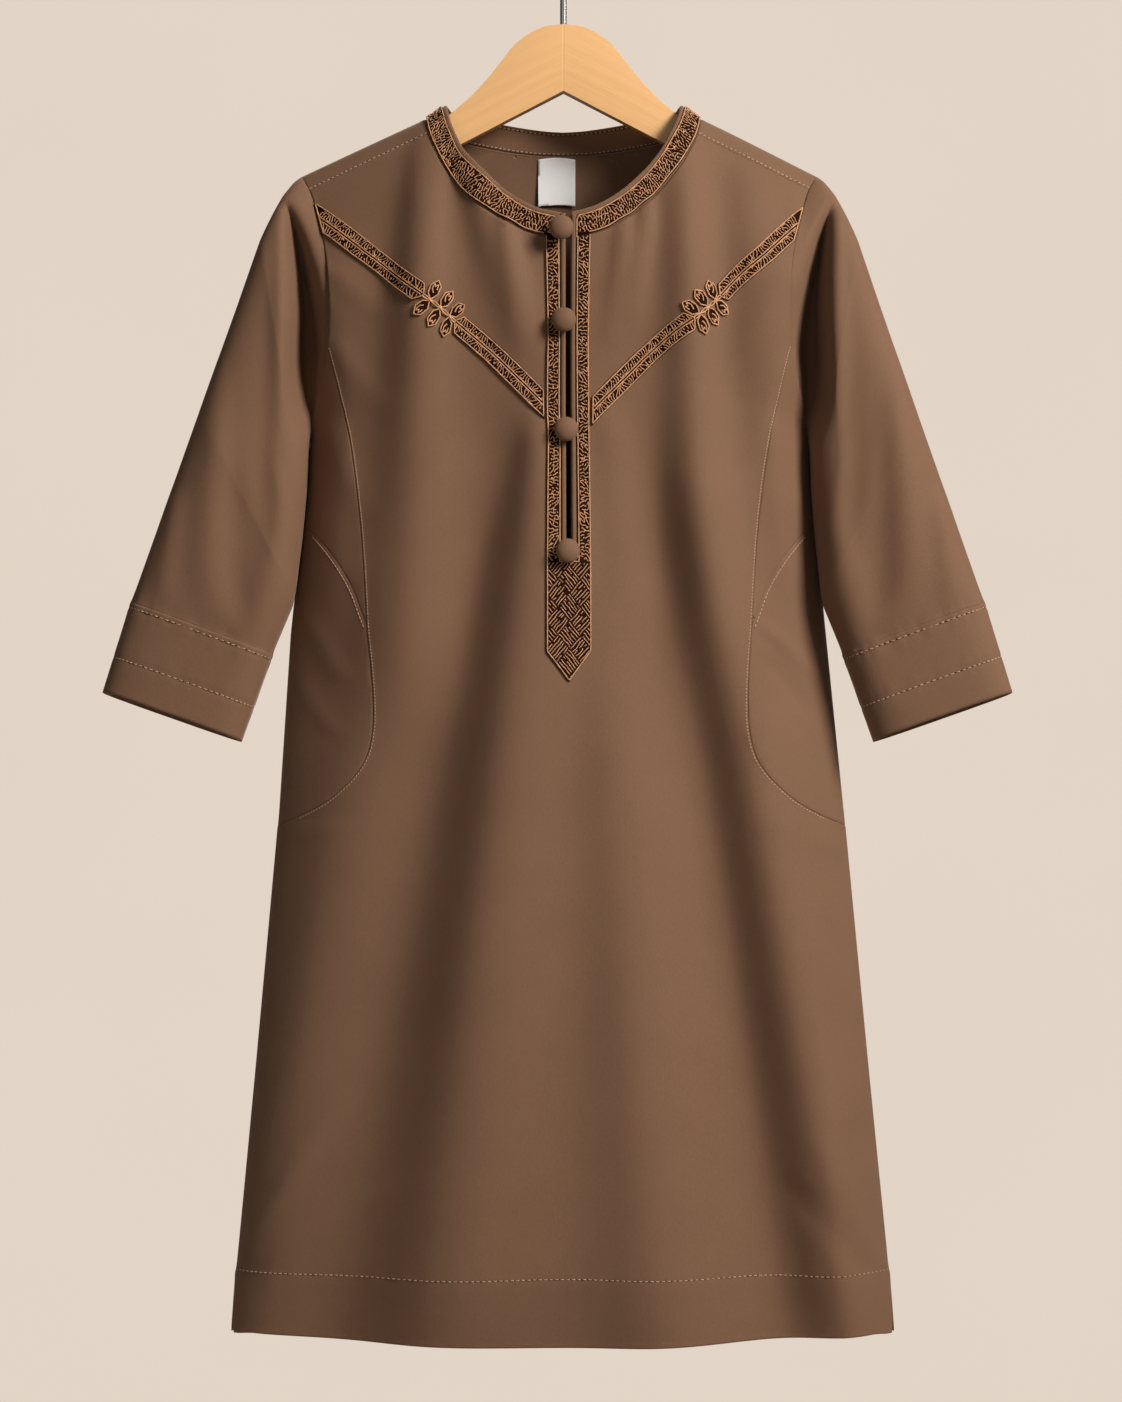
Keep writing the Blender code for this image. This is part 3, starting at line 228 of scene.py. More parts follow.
class Recipe:
    """A material under construction: its node tree and its one surface shader."""

    def __init__(self, name: str) -> None:
        """Starts a material with a plain Principled BSDF."""
        self.material = bpy.data.materials.new(name)
        self.material.use_nodes = True
        self.tree = self.material.node_tree
        self.shader = self.tree.nodes["Principled BSDF"]

    def add(self, kind: str, inputs: object = (), output: int | str = 0, **settings) -> Flow:
        """Adds any node.

        Args:
            kind: the node's type name.
            inputs: values by position, or a dict of them by socket name.
            output: the output socket that is wanted.
            settings: the node's own properties.

        Returns:
            The output, ready to go on.
        """
        node = self.tree.nodes.new(kind)
        for key, value in settings.items():
            setattr(node, key, value)
        named = inputs.items() if isinstance(inputs, dict) else enumerate(inputs)
        for key, value in named:
            self.feed(node.inputs[key], value)
        return Flow(self, node.outputs[output])

    def feed(self, socket: bpy.types.NodeSocket, value: object) -> None:
        """Links a flow to a socket, or sets the socket to a constant."""
        if isinstance(value, Flow):
            self.tree.links.new(value.socket, socket)
        else:
            socket.default_value = value

    def surface(self, **sockets: object) -> None:
        """Feeds the shader's sockets, whose names are given with _ for a space."""
        for name, value in sockets.items():
            self.feed(self.shader.inputs[name.replace("_", " ")], value)

    def place(self, source: str = "Object") -> Flow:
        """Where a point is: on the piece, or with "UV" on its pattern."""
        return self.add("ShaderNodeTexCoord", output=source)

    def parts(self, vector: Flow) -> tuple[Flow, Flow, Flow]:
        """The three numbers of a vector."""
        node = self.add("ShaderNodeSeparateXYZ", (vector,)).socket.node
        return tuple(Flow(self, socket) for socket in node.outputs)

    def scaled(self, vector: Flow, by: Row) -> Flow:
        """A vector scaled along each axis."""
        return self.add("ShaderNodeVectorMath", (vector, by), operation="MULTIPLY")

    def noise(self, vector: Flow, scale: float, detail: float = 2.0) -> Flow:
        """Soft random values around a half."""
        sockets = {"Vector": vector, "Scale": scale, "Detail": detail}
        return self.add("ShaderNodeTexNoise", sockets)

    def blend(self, share: Flow, low: Row, high: Row) -> Flow:
        """A colour between two, by a share that runs from 0 to 1."""
        sockets = {6: (*low, 1.0), 7: (*high, 1.0), 0: share}
        return self.add("ShaderNodeMix", sockets, output=2, data_type="RGBA")

    def relief(self, height: Flow, depth: float) -> Flow:
        """A normal from a height that runs from 0 to 1 over a depth in metres."""
        return self.add("ShaderNodeBump", {"Height": height, "Distance": depth, "Strength": 1.0})


class Look:
    """A finish under a name. Its dress method sets up the nodes of its material."""

    name: str

    def make(self) -> Finish:
        """Builds the material.

        Returns:
            The material, dressed.
        """
        recipe = Recipe(self.name)
        self.dress(recipe)
        return recipe.material


@dataclass(frozen=True)
class Twill(Look):
    """The robe's smooth twill, with its faint diagonal rib and soft sheen."""

    name: str = "robe_twill"
    colour: Row = (0.148, 0.0735, 0.0380)
    light_colour: Row = (0.229, 0.1225, 0.0690)
    rib: float = 0.0008  # from one diagonal to the next
    rib_depth: float = 0.00009
    slub: float = 0.0032
    fleck: float = 0.0011
    roughness: float = 0.78
    source: str = "UV"

    def dress(self, recipe: Recipe) -> None:
        """Sets up the nodes.

        Args:
            recipe: the material under construction.
        """
        place = recipe.place(self.source)
        x, y, z = recipe.parts(place)
        wobble = recipe.noise(place, 1 / (4 * self.slub), 3.0)
        diagonal = (x + y + z) * (2 * math.pi / self.rib) + wobble * 2.0
        rib = diagonal.sine() * 0.5 + 0.5
        yarn = recipe.noise(recipe.scaled(place, (1.0, 0.28, 1.0)), 1 / self.rib, 2.0)
        tone = recipe.noise(place, 1 / (9 * self.slub), 4.0)
        fleck = recipe.noise(place, 1 / self.fleck, 1.0)
        share = yarn * 0.35 + tone * 0.30 + fleck * 0.35
        height = rib * 0.35 + yarn * 0.35 + fleck * 0.30
        recipe.surface(
            Base_Color=recipe.blend(share, self.colour, self.light_colour),
            Roughness=self.roughness,
            Sheen_Weight=0.22,
            Sheen_Roughness=0.45,
            Sheen_Tint=(0.80, 0.62, 0.50, 1.0),
            Specular_IOR_Level=0.32,
            Normal=recipe.relief(height, self.rib_depth),
        )


@dataclass(frozen=True)
class Thread(Look):
    """Embroidery cord or sewing thread, with the fine twist of its strands and painted shade in the
    twist's grooves.
    """

    name: str
    dark: Row
    light: Row
    twist: float = 0.0007
    roughness: float = 0.52
    sheen: float = 0.15
    gloss: float = 0.45
    depth: float = 0.00006

    def dress(self, recipe: Recipe) -> None:
        """Sets up the nodes.

        Args:
            recipe: the material under construction.
        """
        place = recipe.place()
        x, y, z = recipe.parts(place)
        wobble = recipe.noise(place, 900.0, 1.0)
        strands = ((x * 0.8 + z + y * 0.5) * (2 * math.pi / self.twist) + wobble * 3.0).sine()
        tone = recipe.noise(place, 420.0, 3.0)
        # The twist wave darkens the colour in its grooves, a painted shade, over a tone that
        # differs at random.
        share = strands * 0.22 + tone
        recipe.surface(
            Base_Color=recipe.blend(share, self.dark, self.light),
            Roughness=self.roughness,
            Sheen_Weight=self.sheen,
            Sheen_Roughness=0.4,
            Specular_IOR_Level=self.gloss,
            Normal=recipe.relief(strands * 0.5 + 0.5, self.depth),
        )


@dataclass(frozen=True)
class WovenSatin(Look):
    """The label's white ribbon, with its close crosswise ribs."""

    name: str = "label_ribbon"
    colour: Row = (0.85, 0.85, 0.84)
    light_colour: Row = (0.96, 0.96, 0.95)
    rib: float = 0.0005
    depth: float = 0.00004

    def dress(self, recipe: Recipe) -> None:
        """Sets up the nodes.

        Args:
            recipe: the material under construction.
        """
        place = recipe.place("UV")
        across, along, _ = recipe.parts(place)
        rib = (along * (2 * math.pi / self.rib)).sine() * 0.5 + 0.5
        warp = (across * (2 * math.pi / (self.rib * 1.6))).sine() * 0.5 + 0.5
        share = recipe.noise(place, 900.0, 2.0) * 0.6 + rib * 0.4
        recipe.surface(
            Base_Color=recipe.blend(share, self.colour, self.light_colour),
            Roughness=0.48,
            Sheen_Weight=0.1,
            Normal=recipe.relief(rib * 0.7 + warp * 0.3, self.depth),
        )


@dataclass(frozen=True)
class Beech(Look):
    """Varnished pale wood. The grain slants up from each arm to meet in the middle."""

    name: str = "hanger_beech"
    pale: Row = (0.97, 0.585, 0.270)
    deep: Row = (0.86, 0.465, 0.180)
    slant: float = math.radians(27)
    ring: float = 0.0040
    fleck: float = 0.0009
    joint_half: float = 0.00035
    depth: float = 0.00005

    def dress(self, recipe: Recipe) -> None:
        """Sets up the nodes.

        Args:
            recipe: the material under construction.
        """
        x, y, z = recipe.parts(recipe.place())
        run = x.size()
        along = run * math.cos(self.slant) - z * math.sin(self.slant)
        over = run * math.sin(self.slant) + z * math.cos(self.slant)
        grain = recipe.add("ShaderNodeCombineXYZ", (along * 0.055, y * 0.6, over))
        bands = recipe.noise(grain, 1 / self.ring, 3.0)
        flecks = recipe.noise(
            recipe.add("ShaderNodeCombineXYZ", (along * 0.06, y, over)), 1 / self.fleck, 2.0
        )
        share = bands * 0.72 + flecks * 0.28
        joint = (1 - run / self.joint_half).atleast(0.0)
        recipe.surface(
            Base_Color=recipe.blend(share * 1.5 - 0.25 - joint * 0.35, self.deep, self.pale),
            Roughness=flecks * 0.12 + 0.36,
            Coat_Weight=0.25,
            Coat_Roughness=0.25,
            Normal=recipe.relief(flecks - joint * 2.0, self.depth),
        )


@dataclass(frozen=True)
class Steel(Look):
    """Bright drawn wire."""

    name: str = "hook_steel"
    colour: Row = (0.60, 0.59, 0.57)
    depth: float = 0.00001

    def dress(self, recipe: Recipe) -> None:
        """Sets up the nodes.

        Args:
            recipe: the material under construction.
        """
        drawn = recipe.noise(recipe.scaled(recipe.place(), (1.0, 1.0, 0.08)), 2600.0, 2.0)
        recipe.surface(
            Base_Color=(*self.colour, 1.0),
            Metallic=1.0,
            Roughness=drawn * 0.16 + 0.16,
            Normal=recipe.relief(drawn, self.depth),
        )


@dataclass(frozen=True)
class StudioPaper(Look):
    """The plain pale sweep, or with a glow the backdrop."""

    name: str
    colour: Row
    glow: float = 0.0

    def dress(self, recipe: Recipe) -> None:
        """Sets up the nodes.

        Args:
            recipe: the material under construction.
        """
        tone = recipe.noise(recipe.place(), 1.5, 3.0)
        darker = tuple(0.97 * part for part in self.colour)
        colour = recipe.blend(tone, darker, self.colour)
        if self.glow:
            recipe.surface(
                Base_Color=(0.0, 0.0, 0.0, 1.0),
                Specular_IOR_Level=0.0,
                Emission_Color=colour,
                Emission_Strength=self.glow,
            )
        else:
            recipe.surface(Base_Color=colour, Roughness=0.9)


class Finishes:
    """Every finish on the robe and its hanger, each made once."""

    def __init__(self) -> None:
        """Builds the materials."""
        self.twill = Twill().make()
        self.button_twill = Twill(name="button_twill", source="Object", rib=0.0009).make()
        # The cord's dark and light ends lie far apart: its random tone is partly the cord's own
        # colour and partly painted highlight and shade.
        self.cord = Thread("braid_cord", (0.17, 0.060, 0.021), (0.96, 0.510, 0.258)).make()
        self.ground = Thread(
            "braid_ground", (0.015, 0.0050, 0.0020), (0.030, 0.0100, 0.0045), roughness=0.95,
            sheen=0.0, gloss=0.05,
        ).make()
        self.sewing = Thread("sewing_thread", (0.34, 0.20, 0.12), (0.62, 0.42, 0.28)).make()
        # Dark patches at the stitches' ends paint the shade in the needle holes.
        self.holes = Thread(
            "needle_holes", (0.020, 0.010, 0.006), (0.040, 0.020, 0.012), roughness=0.9
        ).make()
        self.ribbon = WovenSatin().make()
        self.beech = Beech().make()
        self.steel = Steel().make()


# --- the robe's form ---

# Folds in the front view: where each starts and ends, its half width to the left and to the
# right there, and how far it stands out there. A trough stands out by less than nothing.
FOLD_COLUMNS = ("x0", "z0", "x1", "z1", "left0", "right0", "left1", "right1", "rise0", "rise1")
FOLD_FADE = 0.30  # a fold starts and ends over this share of its length
FRONT_FOLDS = metres(
    (-116, -170, -116, -360, 14, 24, 14, 24, 6, 4.5),
    (116, -170, 116, -360, 24, 14, 24, 14, 4.5, 3),
    (-69, -115, -78, -400, 6, 11, 26, 24, 8, 8.5),
    (62, -115, 70, -400, 10, 9, 20, 20, 8.2, 7),
    (95, -125, 106, -300, 9, 13, 14, 18, 3.2, 1),
    (-12, -290, -70, -760, 15, 26, 34, 44, 8.6, 15.4),
    (-33, -290, -119, -760, 20, 15, 34, 36, -6, -7),
    (22, -380, 50, -760, 14, 18, 30, 34, 2.6, 10.4),
    (69, -290, 154.5, -760, 16, 22, 27, 30, 7.2, 18.4),
    (46, -290, 116.5, -760, 20, 16, 34, 27, -6, -12.6),
    (-94, -400, -178, -760, 18, 20, 22, 26, 2.8, 3),
)
BACK_FOLDS = metres(
    (-70, -200, -112, -760, 16, 26, 22, 34, 3.6, 9),
    (-36, -260, -60, -760, 16, 16, 24, 24, -3.4, -7),
    (-6, -220, -13, -760, 20, 14, 26, 20, 3.6, 9),
    (30, -300, 43, -760, 16, 16, 22, 22, -3, -6.6),
    (62, -210, 97, -760, 22, 16, 30, 22, 3.6, 8.8),
)
# Small creases, too fine for the solid.
FRONT_CREASES = metres(
    (-48, -135, -18, -235, 7, 8, 12, 16, 6.2, 1.6),
    (-29, -165, -20, -230, 4, 4, 7, 9, 3.6, 0.8),
    (-62, -140, -68, -190, 3, 4, 5, 7, 0.8, 0.3),
    (43, -158, 34, -220, 4, 4, 7, 7, 3.6, 0.8),
    (31, -168, 23, -228, 4, 5, 6, 9, 3.4, 0.8),
    (22, -262, 34, -360, 7, 10, 10, 14, 1.6, 0.8),
    (126, -112, 128, -330, 42, 12, 45, 12, 12.5, 6.4),
    (-52, -540, -70, -760, 34, 36, 34, 40, -1, -6),
    (140, -640, 156, -760, 26, 28, 27, 30, -1, -6),
    (-13, -268, -18, -330, 7, 9, 10, 12, 3.4, 1),
    (-120, -186, -90, -214, 6, 7, 10, 10, 1.2, 0.4),
    (-118, -222, -88, -262, 6, 7, 10, 10, 1.2, 0.4),
    (-120, -262, -98, -312, 5, 7, 8, 10, 1.5, 0.5),
    (116, -190, 92, -232, 6, 6, 9, 9, 1.4, 0.4),
    (119, -232, 94, -282, 6, 6, 9, 9, 1.4, 0.4),
    (116, -300, 102, -340, 5, 6, 7, 8, 1, 0.5),
    (101, -366, 128, -392, 4, 5, 5, 6, 1.6, 1),
    (103, -384, 124, -412, 4, 5, 6, 7, -1.2, -0.8),
    (-127, -360, -108, -392, 5, 6, 7, 7, 1.4, 0.8),
    (-132, -392, -112, -420, 5, 5, 6, 7, 1, 0.6),
    (-146, -474, -112, -463, 20, 20, 16, 16, 1, 0.4),
    (143, -478, 111, -461, 20, 20, 16, 16, 1.2, 0.4),
    (-108, -595, -158, -676, 8, 9, 5, 6, 0.6, 2.2),
    (-84, -640, -160, -686, 12, 14, 10, 12, 0.8, 1.6),
    (128, -622, 160, -686, 7, 8, 5, 6, 0.6, 2.2),
    (112, -640, 156, -692, 8, 10, 8, 10, -0.6, -2.2),
)
BACK_CREASES = metres(
    (-40, -135, -48, -210, 4, 7, 6, 9, 1.1, 0.3),
    (38, -135, 50, -210, 5, 6, 8, 8, 1.1, 0.3),
    (8, -175, 4, -260, 6, 8, 8, 10, 0.8, 0.3),
    (-116, -205, -74, -272, 6, 9, 8, 12, 1.4, 0.4),
    (114, -205, 78, -280, 6, 9, 8, 12, 1.4, 0.4),
    (-122, -262, -94, -340, 5, 8, 8, 11, 1.1, 0.4),
    (120, -258, 98, -345, 5, 8, 8, 11, 1.1, 0.4),
    (-92, -520, -160, -655, 10, 20, 12, 24, 2, 2),
    (100, -500, 164, -650, 14, 12, 18, 14, 2, 2.2),
    (4, -330, 10, -480, 6, 9, 10, 13, 0.9, 1),
)
SIDE_LINE = metres(
    (-717, 164.8), (-590, 152.5), (-458, 140), (-368, 132.3), (-272, 124.6), (-240, 130),
    (-200, 139), (-148, 144),
)
DEPTHS = metres(  # height, front, back
    (-720, 45, 36), (-600, 41, 34), (-460, 38, 31), (-300, 37, 29), (-180, 35, 27),
    (-110, 33, 26),
)
LEANS = metres(  # height, shift of the side at -X, shift of the side at +X
    (-113, 0, 0), (-145, 0, -4.6), (-270, 0, -4.2), (-370, -2.6, -2.6), (-460, -1, -1),
    (-720, -0.4, -0.4),
)


class Form:
    """A surface that a flat pattern hangs on."""

    slope_step = 0.0011

    def slopes(self, places: Line) -> Array:
        """The direction at right angles to the surface.

        Args:
            places: places on the pattern.

        Returns:
            A direction for each, 1 long, towards the front for a pattern seen from outside.
        """
        aside, along = np.eye(2) * self.slope_step
        across = self.surface(places + aside) - self.surface(places - aside)
        down = self.surface(places + along) - self.surface(places - along)
        return unit(np.cross(across, down))


@dataclass
class RobeForm(Form):
    """The form that the body of the robe hangs in, and the pattern that covers it.

    On the pattern u is the distance from the centre line, and v the distance from the shoulder
    ridge, below 0 in front. The form is the inner face of the cloth.
    """

    neck_half: float = 0.0685
    shoulder_z: float = -0.1138
    shoulder_slope: float = 0.475
    ridge_round: float = 0.020
    hem_z: float = -0.7205
    hem_rise: float = 0.0035
    hem_half: float = 0.166
    arch_drop: float = 0.110
    section_power: float = 1.25
    half_girth: float = 0.158
    lean_reach: float = 0.125
    hem_deep: float = 0.0345
    hem_step: float = 0.00045  # how far the folded hem stands out
    hem_tuck: float = 0.14  # how steeply the folded hem turns in

    def __post_init__(self) -> None:
        """Works out the tables that turn distances on the pattern into places."""
        angle = np.linspace(0, math.pi / 2, 240)
        self.across = np.sin(angle)
        self.deep = np.cos(angle).clip(0) ** self.section_power
        ratio = DEPTHS[3][1] / SIDE_LINE[3][1]
        run = np.cumsum(np.hypot(np.diff(self.across), ratio * np.diff(self.deep)))
        self.across_share = np.concatenate([[0], run / run[-1]])
        self.drop_share = np.linspace(0, 1, 600)
        drop = self.drop_share * (self.shoulder_z - self.hem_z)
        deep = self.arch(drop) * DEPTHS[4][1]
        run = np.cumsum(np.hypot(np.diff(drop), np.diff(deep)))
        self.drop_run = np.concatenate([[0], run])
        self.length = float(self.drop_run[-1])

    def ridge(self, x: Value) -> Array:
        """Height of the ridge over the shoulders."""
        reach = np.hypot(x, self.ridge_round) - math.hypot(self.neck_half, self.ridge_round)
        return self.shoulder_z - self.shoulder_slope * reach

    def hem(self, x: Value) -> Array:
        """Height of the hem."""
        return self.hem_z + self.hem_rise * (np.asarray(x) / self.hem_half) ** 2

    def arch(self, fall: Array) -> Array:
        """Share of its full depth that the cloth has, this far below the ridge."""
        return np.sqrt(1 - (1 - np.clip(fall / self.arch_drop, 0, 1)) ** 2)

    def half_width(self, drop: Array) -> Array:
        """Half width at a share of the drop from the ridge to the hem."""
        top, foot = SIDE_LINE[-1][0], SIDE_LINE[0][0]
        return read(SIDE_LINE, top + drop * (foot - top))

    def lean(self, x: Array, z: Array) -> Array:
        """How far the cloth at a place hangs to one side."""
        shift = np.where(x > 0, read(LEANS, z, 2), read(LEANS, z, 1))
        return shift * smooth(np.abs(x) / self.lean_reach)

    @staticmethod
    def folds(rows: Sequence[Row], x: Array, z: Array) -> Array:
        """How far a table of folds pushes the cloth out at places in the front view.

        Args:
            rows: the table.
            x: how far across each place is.
            z: its height.

        Returns:
            A distance for each place.
        """
        total = np.zeros_like(x)
        for row in rows:
            fold = dict(zip(FOLD_COLUMNS, row))
            along = (fold["z0"] - z) / (fold["z0"] - fold["z1"])
            shown = smooth(along / FOLD_FADE + 0.5) * smooth((1 - along) / FOLD_FADE + 0.5)
            along = np.clip(along, 0, 1)
            middle, left, right, rise = (
                fold[name + "0"] + along * (fold[name + "1"] - fold[name + "0"])
                for name in ("x", "left", "right", "rise")
            )
            wide = np.where(x < middle, left, right)
            total += shown * rise * np.exp(-(((x - middle) / wide) ** 2))
        return total

    def surface(self, places: Line) -> Array:
        """The inner face of the cloth at places on the pattern.

        Args:
            places: the places.

        Returns:
            A point for each.
        """
        u, v = places[:, 0], places[:, 1]
        share = np.abs(u) / self.half_girth
        behind = (v > 0) ^ (share > 1)
        share = np.where(share > 1, 2 - share, share)
        drop = np.interp(np.abs(v), self.drop_run, self.drop_share)
        past = np.clip(np.abs(v) - self.length, 0, None)
        across = np.interp(share, self.across_share, self.across)
        deep = np.interp(share, self.across_share, self.deep)
        x = np.copysign(self.half_width(drop) * across, u)
        top = self.ridge(x)
        z = top - drop * (top - self.hem(x)) - past
        arched = self.arch(top - z)
        tuck = self.hem_tuck * np.clip(self.hem(x) + self.hem_deep - z, 0, None)
        depth = np.where(behind, read(DEPTHS, z, 2), read(DEPTHS, z, 1)) - tuck
        depth *= deep * arched
        front = self.folds(FRONT_FOLDS + FRONT_CREASES, x, z)
        back = self.folds(BACK_FOLDS + BACK_CREASES, x, z)
        depth += np.where(behind, back, front) * arched * np.minimum(1.0, 2.2 * deep)
        return np.column_stack([x + self.lean(x, z), np.where(behind, depth, -depth), z])

    def outward(self, places: Line) -> Array:
        """The direction out of the cloth at places on the pattern."""
        return self.slopes(places)

    def hang(self, places: Line, lift: Value) -> Array:
        """Points over the pattern, lifted off the cloth's inner face."""
        return self.surface(places) + self.outward(places) * np.reshape(lift, (-1, 1))

    def flat(self, points: Line, side: int = 1, behind: bool = False) -> Line:
        """Lays front view points of a level robe on the pattern.

        Args:
            points: one or more (x, z), for the side at +X.
            side: -1 lays them on the other side.
            behind: whether they are on the back.

        Returns:
            Their places on the pattern.
        """
        points = np.atleast_2d(np.asarray(points, float))
        x, z = points[:, 0], points[:, 1]
        top = self.ridge(x)
        drop = np.clip((top - z) / (top - self.hem(x)), 0, None)
        across = np.minimum(np.abs(x) / self.half_width(drop), 1.0)
        u = np.interp(across, self.across, self.across_share) * self.half_girth
        v = np.interp(drop, self.drop_share, self.drop_run)
        return np.column_stack([np.copysign(u, x * side), v if behind else -v])

    def flat_seen(self, points: Line, behind: bool = False) -> Line:
        """Lays points on the pattern that are given as they show on the robe as it hangs."""
        points = np.atleast_2d(np.asarray(points, float)).copy()
        points[:, 0] -= self.lean(points[:, 0], points[:, 1])
        return self.flat(points, 1, behind)

    def side_at(self, z: float, side: int, behind: bool = False) -> Line:
        """The place on a side seam at a height."""
        half = float(read(SIDE_LINE, z))
        top = float(self.ridge(half))
        v = float(np.interp((top - z) / (top - self.hem(half)), self.drop_share, self.drop_run))
        return np.array([[side * self.half_girth, v if behind else -v]])


# --- seam lines of the body, in the front view, for the side at +X ---

NECK_FRONT = metres(
    (0, -176.1), (15.8, -173.2), (26.6, -168.9), (36.9, -162.6), (45.3, -155.8), (52.5, -148.5),
    (59.2, -139.9), (64, -130.2), (66.8, -122.5), (68.5, -113.8),
)
NECK_BACK = metres(
    (68.5, -113.8), (64, -119), (55, -122.2), (42, -124.8), (27, -127.2), (13, -128.6), (0, -129),
)
SHOULDER_SEAM = ((0.0668, -0.1225), (0.1262, -0.1494))
ARMHOLE_FRONT = metres(
    (130.8, -142.4), (126.2, -149.4), (122, -162.7), (118.9, -175.1), (116.8, -189),
    (115.8, -201.5), (115.5, -215), (116.4, -228.5), (119, -240), (122, -254), (124.6, -272),
)
ARMHOLE_BACK = metres(
    (130.8, -142.4), (125.5, -158), (122.2, -176), (120.5, -196), (120.3, -216), (121.4, -238),
    (123.2, -256), (124.6, -272),
)
UNDERARM_Z = -0.2720
FRONT_SEAM = metres(
    (116.4, -228.5), (112.5, -243.1), (106.3, -269.9), (102, -294), (98.6, -318.4),
    (96.3, -342.4), (94.5, -366), (92.8, -385.8), (92, -403), (92.7, -418.3), (95.9, -431.1),
    (103.1, -442), (116, -453.5), (130.2, -461.3),
)
FRONT_SEAM_FOOT_Z = -0.4660
POCKET_MOUTH = metres(
    (121.7, -320.3), (114.2, -328.9), (108, -337.5), (101.7, -348.2), (96.9, -360.1),
    (94.5, -366),
)
POCKET_MOUTH_SIDE_Z = -0.3145
SHOULDER_CLEAR = 0.0005  # lines end this far from the seams that cross them
UNDERARM_CLEAR = 0.004
CLOTH = 0.0012
ON_CLOTH = 0.0013  # where braid lies, off the form's inner face
GROUND_THICK = 0.0007
ON_GROUND = ON_CLOTH + GROUND_THICK


# --- making pieces ---


def linked(name: str, mesh: bpy.types.Mesh, finish: Finish) -> Piece:
    """Makes a smooth object of a mesh, in the scene.

    Args:
        name: the name of both.
        mesh: the mesh.
        finish: its only material.

    Returns:
        The object.
    """
    mesh.name = name
    mesh.shade_smooth()
    mesh.materials.clear()
    mesh.materials.append(finish)
    made = bpy.data.objects.new(name, mesh)
    bpy.context.scene.collection.objects.link(made)
    return made


def from_shape(name: str, shape: Shape, finish: Finish) -> Piece:
    """Makes a linked object of a bmesh, which is freed.

    Args:
        name: the object's name.
        shape: the bmesh.
        finish: its material.

    Returns:
        The object.
    """
    mesh = bpy.data.meshes.new(name)
    shape.to_mesh(mesh)
    shape.free()
    return linked(name, mesh, finish)


